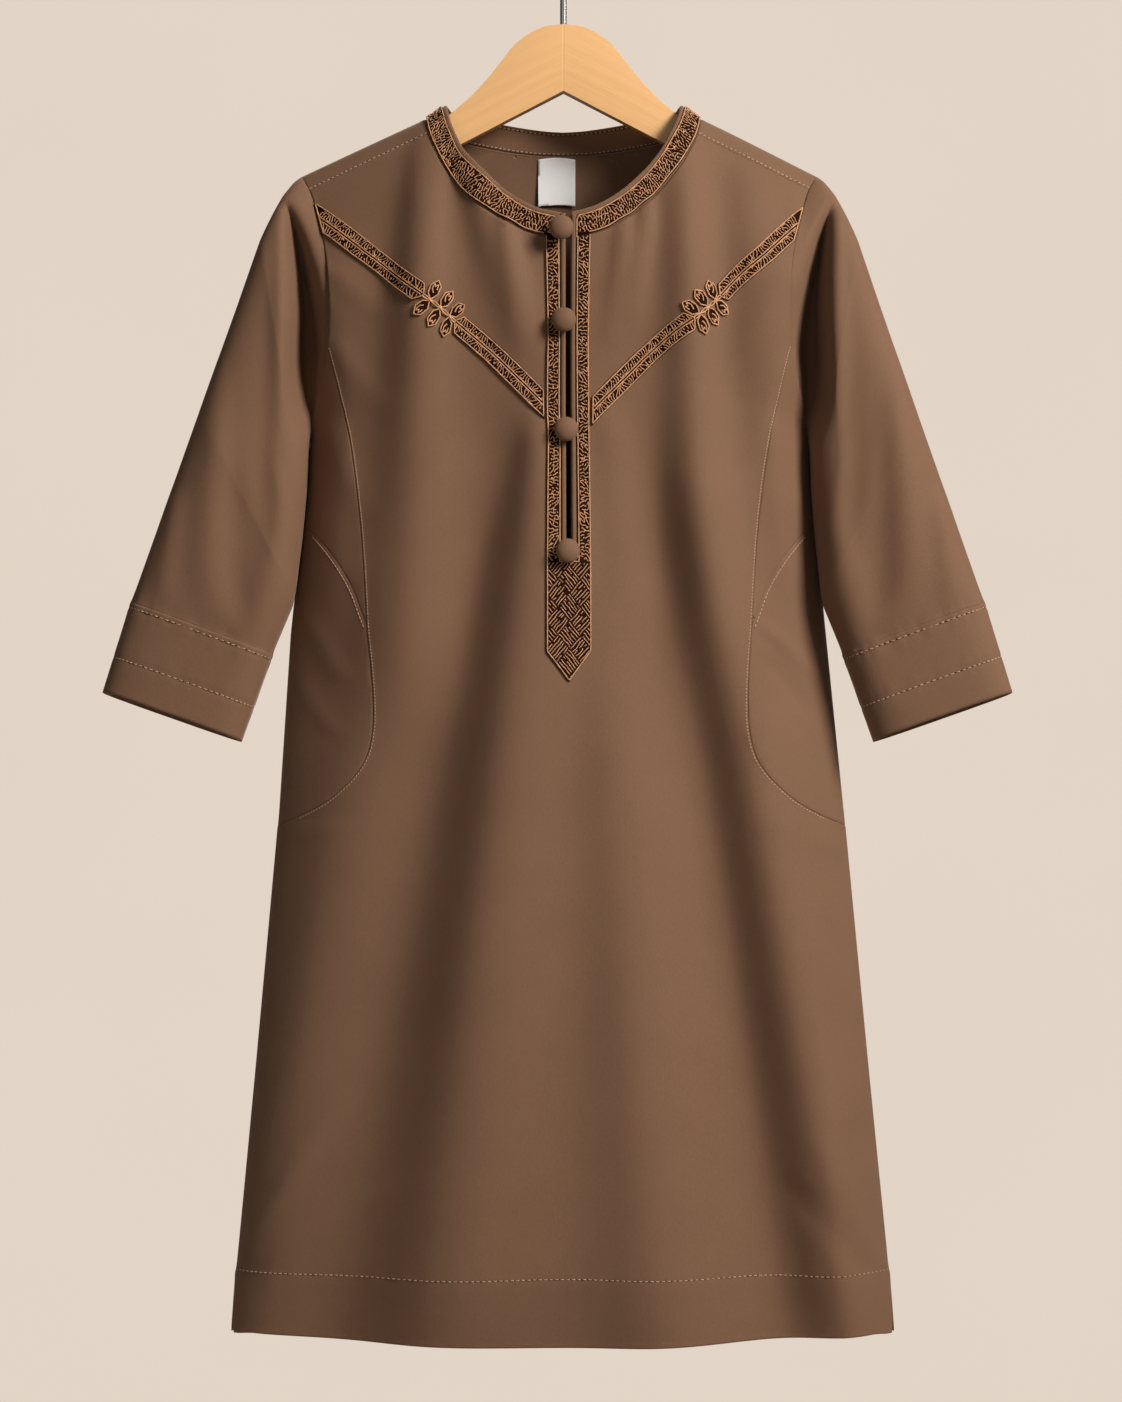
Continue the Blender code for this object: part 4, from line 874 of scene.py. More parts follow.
@dataclass
class Workshop:
    finishes: Finishes
    form: Form
    stitch_share: float = 0.70  # of the pitch, that a stitch covers
    hole_share: float = 0.34
    hole_sink: float = 0.35  # of the thread's radius, that the painted shade of a needle hole lies deeper

    def own(self, piece: Piece, slot: str, *nodes: str) -> Piece:
        """Attaches a finished piece to the root body and hides the plain solids that it stands for.

        Args:
            piece: the finished object.
            slot: the name of a material slot; not used.
            nodes: the plain solids that it stands for.

        Returns:
            The same object.
        """
        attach(piece, "root")
        if nodes:
            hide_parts(*nodes)
        LOG.info("%s: %d faces", piece.name, len(piece.data.polygons))
        return piece

    # Cloth.

    def cut(self, sheet: Shape, faces: list, marks: Sequence[float], axis: int) -> list:
        """Cuts faces of a flat sheet along lines at right angles to an axis.

        Args:
            sheet: the flat sheet.
            faces: the faces to cut.
            marks: where the lines cross the axis, in order.
            axis: 0 for u and 1 for v.

        Returns:
            All the faces that the cuts leave.
        """
        if not len(marks) or not faces:
            return faces
        half = len(marks) // 2
        at, across = [0.0, 0.0, 0.0], [0.0, 0.0, 0.0]
        at[axis], across[axis] = float(marks[half]), 1.0
        edges = {edge for face in faces for edge in face.edges}
        verts = {vert for edge in edges for vert in edge.verts}
        found = bmesh.ops.bisect_plane(
            sheet, geom=[*verts, *edges, *faces], dist=1e-6, plane_co=at, plane_no=across
        )["geom"]
        faces = [item for item in found if isinstance(item, bmesh.types.BMFace)]
        low, high = [], []
        for face in faces:
            (low if face.calc_center_median()[axis] < at[axis] else high).append(face)
        return self.cut(sheet, low, marks[:half], axis) + self.cut(
            sheet, high, marks[half + 1 :], axis
        )

    def hang(
        self, name: str, outline: Line, finish: Finish, lift: Lift = 0.0, thick: Lift = CLOTH,
        step: float = 0.003,
        roll: Sequence[Row] = ((0.0003, -0.00055), (0.0009, -0.00018)),
        inset: float = 0.00012, flip: bool = False, wall: float | None = None,
    ) -> Piece:
        """Cuts a panel to its outline, hangs it on a form and gives it a wall.

        Args:
            name: the piece's name.
            outline: the closed outline on the pattern.
            finish: its material.
            lift: height of its inner side off the form.
            thick: height of its outer side above that.
            step: the size of its mesh.
            roll: rows of a distance from the edge and how far the edge is rolled in before it.
            inset: how far it stops short of its seam.
            flip: whether the pattern is seen from its other side.
            wall: thickness of the wall, if it is less than thick.

        Returns:
            The object, with its pattern as its UV map.
        """
        outline = tidy_outline(outline, inset)
        sheet = bmesh.new()
        face = sheet.faces.new([sheet.verts.new((u, v, 0.0)) for u, v in outline])
        face.normal_update()
        if face.normal.z < 0:
            face.normal_flip()
        inner, gone = [face], 0.0
        for distance, depth in roll:
            rim = {vert for vert in inner[0].verts}
            for vert in rim:
                vert.co.z = depth
            bmesh.ops.inset_region(
                sheet, faces=inner, thickness=distance - gone, use_even_offset=True,
                use_boundary=True,
            )
            gone = distance
        for vert in inner[0].verts:
            vert.co.z = 0.0
        low, high = outline.min(0), outline.max(0)
        faces = list(sheet.faces)
        for axis in (0, 1):
            marks = np.arange(math.ceil(low[axis] / step), high[axis] / step) * step
            faces = self.cut(sheet, faces, marks, axis)
        bmesh.ops.dissolve_degenerate(sheet, dist=2e-6, edges=sheet.edges)
        if flip:
            bmesh.ops.reverse_faces(sheet, faces=sheet.faces)
        mesh = bpy.data.meshes.new(name)
        sheet.to_mesh(mesh)
        sheet.free()
        flat = np.empty(len(mesh.vertices) * 3)
        mesh.vertices.foreach_get("co", flat)
        flat = flat.reshape(-1, 3)
        places = flat[:, :2]
        height = value_at(lift, places) + value_at(thick, places) + flat[:, 2]
        mesh.vertices.foreach_set("co", self.form.hang(places, height).ravel())
        corners = np.empty(len(mesh.loops), int)
        mesh.loops.foreach_get("vertex_index", corners)
        mesh.uv_layers.new(name="pattern").uv.foreach_set("vector", places[corners].ravel())
        made = linked(name, mesh, finish)
        made["flat"] = [float(x) for x in high - low]
        made["cut_area"] = float(abs(loop_area(outline)))
        solid = made.modifiers.new("wall", "SOLIDIFY")
        solid.thickness = wall or CLOTH
        solid.offset = -1.0
        return made

    def ground(
        self, name: str, outline: Line, *nodes: str, lift: Lift = ON_CLOTH,
        thick: float = GROUND_THICK, **settings: object,
    ) -> Piece:
        """Hangs the dark ground that a braid's cords are laid on.

        Args:
            name: the piece's name.
            outline: the closed outline on the pattern.
            nodes: the plain solids that it stands for.
            lift: height of its inner side off the form.
            thick: its thickness.
            settings: the step and roll that hang takes, if they aren't a braid's usual ones.

        Returns:
            The ground.
        """
        usual = {"step": 0.0022, "roll": ((0.0003, -0.0004),)} | settings
        made = self.hang(name, outline, self.finishes.ground, lift, thick, wall=thick, **usual)
        return self.own(made, "braid", *nodes)

    # Cord, stitches and other small things.

    def braid(
        self, name: str, ornament: "Ornament", strands: Iterable[Strand],
        borders: Iterable[Strand],
    ) -> list[Piece]:
        """Lays a braid's cords.

        Args:
            name: the braid's name.
            ornament: the sizes of its cords.
            strands: the cords that fill it.
            borders: the thicker cords round it.

        Returns:
            The filling and the borders.
        """
        cord = self.finishes.cord
        made = [
            self.cords(f"{name}_cords", strands, ornament.cord, cord, 5),
            self.cords(f"{name}_borders", borders, ornament.border, cord),
        ]
        return [self.own(piece, "braid") for piece in made]

    def cords(
        self, name: str, strands: Iterable[Strand], radius: float, finish: Finish,
        sides: int = 6,
    ) -> Piece:
        """Lays round cords on a form.

        Args:
            name: the piece's name.
            strands: each cord's line on the pattern, with the height of its middle.
            radius: the cords' radius.
            finish: their material.
            sides: how many sides a cord has.

        Returns:
            The cords as one mesh.
        """
        lines = [
            (self.form.hang(places, np.broadcast_to(lift, len(places))), np.ones(len(places)))
            for places, lift in strands
        ]
        return self.wire(name, lines, radius, finish, max(0, (sides - 4) // 2))

    def wire(
        self, name: str, lines: Iterable[tuple[Array, Array]], radius: float, finish: Finish,
        steps: int,
    ) -> Piece:
        """Bends round wires through points in space.

        Args:
            name: the piece's name.
            lines: the points of each, with the size of the wire at each point.
            radius: the radius where the size is 1.
            finish: the material.
            steps: how fine its roundness is.

        Returns:
            The wires as one mesh.
        """
        drawn = bpy.data.curves.new(name, "CURVE")
        drawn.dimensions, drawn.use_fill_caps = "3D", True
        drawn.bevel_depth, drawn.bevel_resolution = radius, steps
        for points, sizes in lines:
            spline = drawn.splines.new("POLY")
            spline.points.add(len(points) - 1)
            full = np.column_stack([points, np.ones(len(points))])
            spline.points.foreach_set("co", full.ravel())
            spline.points.foreach_set("radius", sizes)
        carrier = bpy.data.objects.new(name + "_line", drawn)
        bpy.context.scene.collection.objects.link(carrier)
        bpy.context.view_layer.update()
        mesh = bpy.data.meshes.new_from_object(
            carrier.evaluated_get(bpy.context.evaluated_depsgraph_get())
        )
        bpy.data.objects.remove(carrier, do_unlink=True)
        bpy.data.curves.remove(drawn)
        return linked(name, mesh, finish)

    def repeat(self, name: str, seed: Shape, frames: Array, finish: Finish) -> Piece:
        """Joins many turned and moved copies of one small shape into a mesh.

        Args:
            name: the piece's name.
            seed: the small shape, which is freed.
            frames: an array of 3 by 4 matrices: three axes, then a place.
            finish: the material.

        Returns:
            The joined copies.
        """
        shape = np.array([vert.co[:] for vert in seed.verts])
        faces = [[vert.index for vert in face.verts] for face in seed.faces]
        seed.free()
        points = np.einsum("nij,kj->nki", frames[:, :, :3], shape) + frames[:, None, :, 3]
        count = len(shape)
        mesh = bpy.data.meshes.new(name)
        mesh.from_pydata(
            points.reshape(-1, 3),
            [],
            [[k + n * count for k in face] for n in range(len(frames)) for face in faces],
        )
        return linked(name, mesh, finish)

    def frames_along(self, line: Line, lift: float, pitch: float, lean: float) -> Array:
        """Places for stitches along a line.

        Args:
            line: the line on the pattern.
            lift: height of the stitches' middles.
            pitch: from one stitch to the next.
            lean: how far a stitch turns off the line, in radians.

        Returns:
            An array of 3 by 4 matrices, with X along the line and Z off the cloth.
        """
        run = lengths(line)
        marks = np.arange(pitch / 2, run[-1], pitch)
        if not len(marks):
            return np.empty((0, 3, 4))
        places = pick(line, run, marks)
        form, out = self.form, self.form.outward(places)
        ahead, behind = (form.surface(pick(line, run, marks + off)) for off in (3e-4, -3e-4))
        way = ahead - behind
        way = unit(way - out * (way * out).sum(1)[:, None])
        over = np.cross(out, way)
        turned = way * math.cos(lean) + over * math.sin(lean)
        over = np.cross(out, turned)
        middle = form.hang(places, lift)
        return np.stack([turned, over, out, middle], axis=2)

    def capsule(self, length: float, radius: float, flat: float = 0.8) -> Shape:
        """A small rounded bar along X.

        Args:
            length: its length.
            radius: its radius.
            flat: its height as a share of its width.

        Returns:
            The bar.
        """
        seed = bmesh.new()
        bmesh.ops.create_uvsphere(seed, u_segments=6, v_segments=5, radius=radius)
        bmesh.ops.rotate(seed, verts=seed.verts, matrix=Matrix.Rotation(math.pi / 2, 3, "Y"))
        for vert in seed.verts:
            if abs(vert.co.x) > 1e-7:
                vert.co.x += math.copysign(length / 2 - radius, vert.co.x)
            vert.co.z *= flat
        return seed

    def sew(
        self, name: str, rows: Sequence[tuple[Line, float]], pitch: float = 0.0025,
        thread: float = 0.00030, lean: float = 0.0,
    ) -> list[Piece]:
        """Sews rows of stitches, with a dark patch of painted shade for the needle's hole at each
        end of a stitch.

        Args:
            name: the rows' name.
            rows: each row's line, with the height of the cloth's outer face there.
            pitch: from one stitch to the next.
            thread: the thread's radius.
            lean: how far a stitch turns off its row.

        Returns:
            The stitches and the painted shade of the needle holes.
        """
        frames = np.concatenate(
            [self.frames_along(line, lift, pitch, lean) for line, lift in rows]
        )
        stitch = self.capsule(pitch * self.stitch_share, thread)
        stitches = self.repeat(name, stitch, frames, self.finishes.sewing)
        # Places the dark patches of painted shade at the stitches' ends.
        holes = frames.copy()
        holes[:, :, 3] += frames[:, :, 0] * pitch / 2 - frames[:, :, 2] * thread * self.hole_sink
        hole_shade = self.capsule(pitch * self.hole_share, thread * 1.2, 0.5)
        holes = self.repeat(name + "_holes", hole_shade, holes, self.finishes.holes)
        return [self.own(made, "cloth") for made in (stitches, holes)]


@dataclass
class Work:
    """Something that is made in a workshop."""

    shop: Workshop

    @property
    def form(self) -> Form:
        """What its pattern hangs on."""
        return self.shop.form


def value_at(value: Lift, places: Line) -> Array:
    """A height that is a number or a function of the place on the pattern."""
    return value(places) if callable(value) else np.full(len(places), float(value))


def loop_area(outline: Line) -> float:
    """The area inside a closed outline, above 0 if it runs anticlockwise."""
    after = np.roll(outline, -1, axis=0)
    return float((outline[:, 0] * after[:, 1] - after[:, 0] * outline[:, 1]).sum() / 2)


def tidy_outline(outline: Line, inset: float, nearest: float = 0.0004) -> Line:
    """Moves a closed outline inwards, after points that almost repeat are left out.

    Args:
        outline: the outline, either way round.
        inset: how far it moves in, or out if below 0.
        nearest: points nearer to the last than this are left out.

    Returns:
        The moved outline.
    """
    kept = [outline[0]]
    for point in outline[1:]:
        if norm(point - kept[-1]) > nearest:
            kept.append(point)
    if norm(kept[0] - kept[-1]) < nearest:
        kept.pop()
    points = np.array(kept)
    turn = 1.0 if loop_area(points) > 0 else -1.0
    first = points - np.roll(points, 1, axis=0)
    second = np.roll(points, -1, axis=0) - points
    sides = [
        turn * np.column_stack([-way[:, 1], way[:, 0]]) for way in (unit(first), unit(second))
    ]
    fit = np.maximum(1 + (sides[0] * sides[1]).sum(1), 0.3)
    return points + (sides[0] + sides[1]) * (inset / fit)[:, None]


# --- ornament ---


@dataclass
class Trail:
    """A line on the pattern that ornament is set out along: s along it, t to its left."""

    line: Line

    def __post_init__(self) -> None:
        """Evens out the line."""
        self.line = resample(self.line, 0.0005)
        self.run = lengths(self.line)
        way = unit(np.gradient(self.line, axis=0))
        self.left = np.column_stack([-way[:, 1], way[:, 0]])
        self.length = float(self.run[-1])

    def at(self, s: Value, t: Value) -> Line:
        """Places on the pattern for distances along and beside the line."""
        s, t = np.broadcast_arrays(np.atleast_1d(s), np.atleast_1d(t))
        return pick(self.line, self.run, s) + pick(self.left, self.run, s) * t[:, None]


@dataclass
class Ornament:
    """Hand-laid braid cord: strokes that lean to and fro along a lane, rings and borders."""

    cord: float = 0.00026  # radius
    border: float = 0.00036
    rim: float = 0.0003  # of bare dark ground outside the border, which paints the thin shadow round the braid
    pitch: float = 0.00160  # from one stroke to the next
    sway: float = math.radians(58)  # how far a stroke leans either way
    stretch: float = 0.0085  # over this length the lean turns from one way to the other
    shake: float = 0.00011
    step: float = 0.00042
    edge_step: float = 0.0009
    sunk: float = 0.45  # of a cord's radius, that its middle is above the ground at its ends
    climb: float = 0.50  # and how much more halfway
    edge_sunk: float = 0.6
    ring_least: float = 1.25  # in cord radii
    ring_most: float = 1.75
    ringed: float = 0.07  # this share of the strokes gives way to a ring
    broken: float = 0.32  # up to this share they are broken
    joined: float = 0.70  # and up to this share joined to the last as a hairpin
    seed: int = 11

    def __post_init__(self) -> None:
        """Starts the hand's unevenness."""
        self.hand = np.random.default_rng(self.seed)

    def unevenness(self, run: Array, pace: float = 0.0011) -> Array:
        """A soft random line along a run."""
        marks = np.arange(run[0] - pace, run[-1] + 2 * pace, pace)
        return np.interp(run, marks, self.hand.normal(0, self.shake, len(marks)))

    def laid(self, places: Line) -> Strand:
        """A cord that climbs a little off the ground between its ends."""
        places = resample(places, self.step)
        climb = np.sin(math.pi * np.linspace(0, 1, len(places)))
        return places, ON_GROUND + self.cord * (self.sunk + self.climb * climb)

    def ring(self, centre: Array) -> Strand:
        """A small ring."""
        turn = np.linspace(0, 2 * math.pi, 11)
        size = self.cord * self.hand.uniform(self.ring_least, self.ring_most)
        return self.laid(centre + size * np.column_stack([np.cos(turn), np.sin(turn)]))

    def lane(
        self, trail: Trail, start: float, end: float, middle: float, half: float, fence: Line
    ) -> list[Strand]:
        """Strokes side by side between two distances along a trail.

        Args:
            trail: what they follow.
            start: where they start.
            end: where they end.
            middle: how far beside the trail their middle is.
            half: half the lane's width.
            fence: an outline that they stay in.

        Returns:
            The cords: strokes, some of them joined as hairpins or broken, and small rings.
        """
        marks = np.arange(start, end + 2 * self.stretch, self.stretch)
        way = (-1.0) ** np.arange(len(marks)) * self.hand.uniform(0.55, 1.0, len(marks))
        strands, open_end, s = [], None, start
        while s < end:
            lean = self.sway * float(np.interp(s, marks, way))
            reach = half + self.hand.normal(0, self.shake)
            t = np.linspace(-reach, reach, 9)
            bow = self.shake * 2.2 * np.sin(math.pi * t / half + self.hand.uniform(0, 2 * math.pi))
            at = s + t * math.tan(lean) + bow
            stroke = trail.at(np.clip(at, 0, trail.length), middle + t + self.unevenness(t))
            kind = self.hand.uniform()
            if kind < self.ringed:
                strands.append([self.ring(stroke[4])[0]])
                strands.append([stroke[:3]])
                strands.append([stroke[6:]])
            elif kind < self.broken:
                cut = int(self.hand.integers(3, 6))
                strands.append([stroke[:cut]])
                strands.append([stroke[cut + 1 :]])
            elif kind < self.joined and open_end is not None:
                away = [norm(stroke[end] - open_end) for end in (0, -1)]
                strands[-1].append(stroke if away[0] < away[1] else stroke[::-1])
            else:
                strands.append([stroke])
            open_end = strands[-1][-1][-1]
            s += self.pitch / math.cos(lean) * self.hand.uniform(0.92, 1.08)
        laid = [self.laid(np.vstack(parts)) for parts in strands]
        return self.within(fence, laid)

    def within(self, fence: Line, strands: list[Strand]) -> list[Strand]:
        """The stretches of cords that lie inside a closed outline.

        Args:
            fence: the outline.
            strands: the cords.

        Returns:
            The stretches, each a cord of its own.
        """
        kept = []
        for places, lift in strands:
            held = np.flatnonzero(inside(fence, places))
            for stretch in np.split(held, np.flatnonzero(np.diff(held) > 1) + 1):
                if len(stretch) > 2:
                    kept.append((places[stretch], lift[stretch]))
        return kept

    def basket(
        self, fence: Line, cell: float = 0.0090, bars: int = 6, slant: float = 47
    ) -> list[Strand]:
        """Basket work of slanting bars that fills an outline.

        Args:
            fence: the outline.
            cell: the side of a square of bars.
            bars: how many bars a square has.
            slant: their angle in degrees.

        Returns:
            The cords.
        """
        angle = math.radians(slant)
        axes = np.array([[math.cos(angle), math.sin(angle)], [-math.cos(angle), math.sin(angle)]])
        middle = (fence.min(0) + fence.max(0)) / 2
        reach = int(norm(np.ptp(fence, axis=0)) / cell) + 2
        strands = []
        for i in range(-reach, reach):
            for j in range(-reach, reach):
                along, over = (axes[0], axes[1]) if (i + j) % 2 else (axes[1], axes[0])
                corner = middle + (i * axes[0] + j * axes[1]) * cell
                for k in range(bars):
                    base = corner + over * cell * (k + 0.5) / bars
                    share = np.linspace(0.04, 0.96, 18)
                    wave = self.unevenness(share * cell, 0.002)[:, None] * over * 1.5
                    bar = base + along * cell * share[:, None] + wave
                    cut = int(self.hand.integers(4, 30))
                    for part in (bar[:cut], bar[cut + 2 :]):
                        if len(part) > 2:
                            strands.append(self.laid(part))
        return self.within(fence, strands)

    @property
    def inset(self) -> float:
        """From the ground's edge to the middle of its border."""
        return self.rim + self.border

    @property
    def fenced(self) -> float:
        """From the ground's edge to where strokes end."""
        return self.rim + 2 * self.border

    def edge(self, line: Line, lift: float = 0.0) -> Strand:
        """A border cord along a line."""
        line = resample(line, self.edge_step)
        return line, np.full(len(line), ON_GROUND + self.border * self.edge_sunk + lift)


def inside(outline: Line, places: Line) -> Array:
    """Which places lie inside a closed outline.

    Args:
        outline: the outline.
        places: the places.

    Returns:
        True or False for each place.
    """
    x, y = places[:, 0][:, None], places[:, 1][:, None]
    first, second = outline, np.roll(outline, -1, axis=0)
    crosses = (first[:, 1] > y) != (second[:, 1] > y)
    rise = np.where(np.abs(second[:, 1] - first[:, 1]) < 1e-12, 1e-12, second[:, 1] - first[:, 1])
    reach = first[:, 0] + (y - first[:, 1]) * (second[:, 0] - first[:, 0]) / rise
    return (crosses & (x < reach)).sum(1) % 2 == 1


def meet(fence: Line, start: Array, way: Array) -> Array:
    """Where a line from start along way first crosses an open line.

    Args:
        fence: the open line.
        start: a place.
        way: a direction.

    Returns:
        The crossing, or start if there is none.
    """
    best = None
    for first, second in zip(fence, fence[1:]):
        side = second - first
        cross = way[0] * side[1] - way[1] * side[0]
        if abs(cross) < 1e-12:
            continue
        gap = first - start
        along = (gap[0] * side[1] - gap[1] * side[0]) / cross
        share = (gap[0] * way[1] - gap[1] * way[0]) / cross
        if along > 0 and 0 <= share <= 1 and (best is None or along < best):
            best = along
    return start + way * (best or 0.0)


# --- the body ---


@dataclass
class Opening:
    """The slit down the front, from the neck to the last button."""

    middle: float = 0.0023
    half: float = 0.0013
    foot_z: float = -0.3290
    binding: float = 0.0025  # width of the folded strip along each edge
    gap: float = 0.0003
    braid: float = 0.0072  # width of the braid beside that

    @property
    def braid_off(self) -> float:
        """From the opening's edge to the braid's inner edge."""
        return self.binding + self.gap

    @property
    def braid_far(self) -> float:
        """From the opening's edge to the braid's outer edge."""
        return self.braid_off + self.braid

    def edge(self, side: int) -> float:
        """How far across one of its edges is."""
        return self.middle + side * self.half


@dataclass
class FrontWork(Work):
    """Something that the opening runs through."""

    opening: Opening


@dataclass
class BodyPanels(FrontWork):
    """Front, back, side fronts and pockets, with their seams and the hem."""

    vent_tall: float = 0.0300
    vent_front: float = 0.0042
    vent_back: float = 0.0012
    corner_drop: float = 0.0014  # the hem dips this much at its corners
    corner_long: float = 0.0120
    mesh_step: float = 0.0031
    overlap: float = 0.0001  # the panels run this far past their seams
    edge_clear: float = 0.002
    seam_row: float = 0.0011  # the rows of stitches are this far from their seams
    pocket_row: float = 0.0018
    hem_row: float = 0.0018
    stitch_dip: float = 0.00028  # the hem's stitches draw it in this much
    dip_wide: float = 0.0011
    ripple: float = 0.00010  # and pucker it this much
    ripple_long: float = 0.0125
    ripple_wide: float = 0.009
    step_wide: float = 0.0010
    shoulder_row: float = 0.0013
    proud: float = 0.00002  # the seams' stitches stand out this much
    sunk: float = 0.00020  # and the hem's lie this much in
    sheets: dict[str, Piece] = field(default_factory=dict)

    def hem_edge(self, behind: bool) -> Line:
        """The lower edge with its two vents, from -X to +X.

        Args:
            behind: whether it is the back's.

        Returns:
            The edge on the pattern.
        """
        sign, back_off = (1, self.vent_back) if behind else (-1, self.vent_front)
        top, foot = sign * (self.form.length - self.vent_tall), sign * self.form.length
        half = self.form.half_girth - back_off
        low = np.column_stack([np.linspace(-half, half, 81), np.full(81, foot)])
        corner = smooth((np.abs(low[:, 0]) - half) / self.corner_long + 1)
        low[:, 1] += sign * self.corner_drop * corner
        girth = self.form.half_girth
        return np.array([[-girth, top], *low, [girth, top]])

    def hem_height(self, places: Line) -> Array:
        """Height of the outer face: one cloth, and a folded band round the hem.

        Args:
            places: places on the pattern.

        Returns:
            The height at each place.
        """
        past = np.abs(places[:, 1]) - (self.form.length - self.form.hem_deep)
        wave = np.sin(places[:, 0] * 2 * math.pi / self.ripple_long)
        ripple = self.ripple * wave * np.exp(-((past / self.ripple_wide) ** 2))
        dip = -self.stitch_dip * np.exp(-(((past - self.hem_row) / self.dip_wide) ** 2))
        step = self.form.hem_step * smooth(past / self.step_wide + 0.5)
        return CLOTH + step + ripple + dip

    def front_half(self, side: int) -> Line:
        """The front's outline from the opening to the foot of the pocket's seam.

        Args:
            side: 1 for the side at +X and -1 for the other.

        Returns:
            That part of the outline.
        """
        form, edge = self.form, self.opening.edge(side)
        neck = curve(NECK_FRONT)
        kept = neck[:, 1] < SHOULDER_SEAM[0][1] - SHOULDER_CLEAR
        neck = neck[kept & (neck[:, 0] > abs(edge) + self.edge_clear)]
        armhole = between(curve(ARMHOLE_FRONT), SHOULDER_SEAM[1][1], FRONT_SEAM[0][1])
        start = form.flat([(edge, NECK_FRONT[0][1])])
        shoulder, seam = curve(SHOULDER_SEAM), curve(FRONT_SEAM)[1:]
        lines = [form.flat(line, side) for line in (neck, shoulder, armhole[1:], seam)]
        return np.vstack([start, *lines, form.side_at(FRONT_SEAM_FOOT_Z, side)])

    def front_outline(self) -> Line:
        """The centre front, slit down to the last button."""
        foot = self.form.flat([(self.opening.edge(side), self.opening.foot_z) for side in (-1, 1)])
        return np.vstack(
            [self.front_half(1), self.hem_edge(False)[::-1], self.front_half(-1)[::-1], foot]
        )

    def side_front_outline(self, side: int) -> Line:
        """The piece between the armhole, the long front seam and the pocket.

        Args:
            side: 1 for the side at +X and -1 for the other.

        Returns:
            Its outline.
        """
        form = self.form
        armhole = between(curve(ARMHOLE_FRONT), FRONT_SEAM[0][1], UNDERARM_Z + UNDERARM_CLEAR)
        seam = between(curve(FRONT_SEAM), FRONT_SEAM[0][1], POCKET_MOUTH[-1][1])
        edge = [form.side_at(z, side) for z in (UNDERARM_Z, POCKET_MOUTH_SIDE_Z)]
        mouth, seam = form.flat(curve(POCKET_MOUTH), side), form.flat(seam[1:-1], side)
        return np.vstack([form.flat(armhole, side), *edge, mouth, seam[::-1]])

    def pocket_outline(self, side: int) -> Line:
        """The patch whose curved top edge is the pocket's mouth.

        Args:
            side: 1 for the side at +X and -1 for the other.

        Returns:
            Its outline.
        """
        form = self.form
        seam = between(curve(FRONT_SEAM), POCKET_MOUTH[-1][1], FRONT_SEAM[-1][1])
        top, foot = (form.side_at(z, side) for z in (POCKET_MOUTH_SIDE_Z, FRONT_SEAM_FOOT_Z))
        mouth, seam = form.flat(curve(POCKET_MOUTH), side), form.flat(seam[1:], side)
        return np.vstack([top, mouth, seam, foot])

    def back_outline(self) -> Line:
        """The back, cut in one with the front of the shoulders.

        Returns:
            Its outline.
        """
        form, halves = self.form, []
        for side in (1, -1):
            neck = curve(NECK_FRONT)
            neck = neck[neck[:, 1] > SHOULDER_SEAM[0][1] + SHOULDER_CLEAR]
            front = between(curve(ARMHOLE_FRONT), ARMHOLE_FRONT[0][1], SHOULDER_SEAM[1][1])
            rear = between(curve(ARMHOLE_BACK), ARMHOLE_BACK[0][1], UNDERARM_Z + UNDERARM_CLEAR)
            inner = np.vstack([form.flat(neck, side), form.flat(curve(NECK_BACK)[1:], side, True)])
            shoulder, front = form.flat(curve(SHOULDER_SEAM), side), form.flat(front[:-1], side)
            rear, foot = form.flat(rear[1:], side, True), form.side_at(UNDERARM_Z, side, True)
            halves.append((inner, np.vstack([shoulder, front[::-1], rear, foot])))
        (left_neck, left), (right_neck, right) = halves
        return np.vstack(
            [left, self.hem_edge(True)[::-1], right[::-1], right_neck, left_neck[::-1][1:]]
        )

    def build(self) -> None:
        """Hangs the panels and sews their seams."""
        twill = self.shop.finishes.twill
        plain = ((0.0003, -0.00032), (0.0009, -0.00010))
        deep = ((0.0003, -0.00060), (0.0009, -0.00020))
        raised = ((0.0003, -0.00060), (0.0008, -0.00004), (0.0015, 0.00012), (0.0023, 0.00008))
        for name, outline, height, roll in (
            ("front", self.front_outline(), self.hem_height, raised),
            ("back", self.back_outline(), self.hem_height, plain),
            ("side_front_left", self.side_front_outline(1), CLOTH, plain),
            ("side_front_right", self.side_front_outline(-1), CLOTH, plain),
            ("pocket_left", self.pocket_outline(1), CLOTH, deep),
            ("pocket_right", self.pocket_outline(-1), CLOTH, deep),
        ):
            made = self.shop.hang(
                f"{name}_cloth", outline, twill, thick=height, step=self.mesh_step, roll=roll,
                inset=-self.overlap,
            )
            self.sheets[name] = self.shop.own(made, "cloth", name)
        self.sew_seams()

    def seam_line(self, points: Sequence[Row], side: int, distance: float) -> Line:
        """A seam's line on the pattern, moved towards the centre line or down."""
        line = self.form.flat(curve(points), side)
        return beside(line, -side * distance)

    def sew_seams(self) -> None:
        """Sews the rows of stitches that show."""
        form, sew = self.form, self.shop.sew
        top = CLOTH + self.proud
        for name, points, distance, settings in (
            ("front_seam", FRONT_SEAM, self.seam_row, {"pitch": 0.0017, "lean": 0.35}),
            ("pocket", POCKET_MOUTH, -self.pocket_row, {}),
            ("shoulder", SHOULDER_SEAM, -self.shoulder_row, {}),
        ):
            rows = [(self.seam_line(points, side, distance), top) for side in (1, -1)]
            sew(f"{name}_stitches", rows, **settings)
        rows = []
        girth = form.half_girth - self.vent_back
        for sign in (-1, 1):
            v = sign * (form.length - form.hem_deep + self.hem_row)
            line = np.column_stack([np.linspace(-girth, girth, 120), np.full(120, v)])
            rows.append((line, CLOTH + form.hem_step - self.sunk))
        sew("hem_stitches", rows)


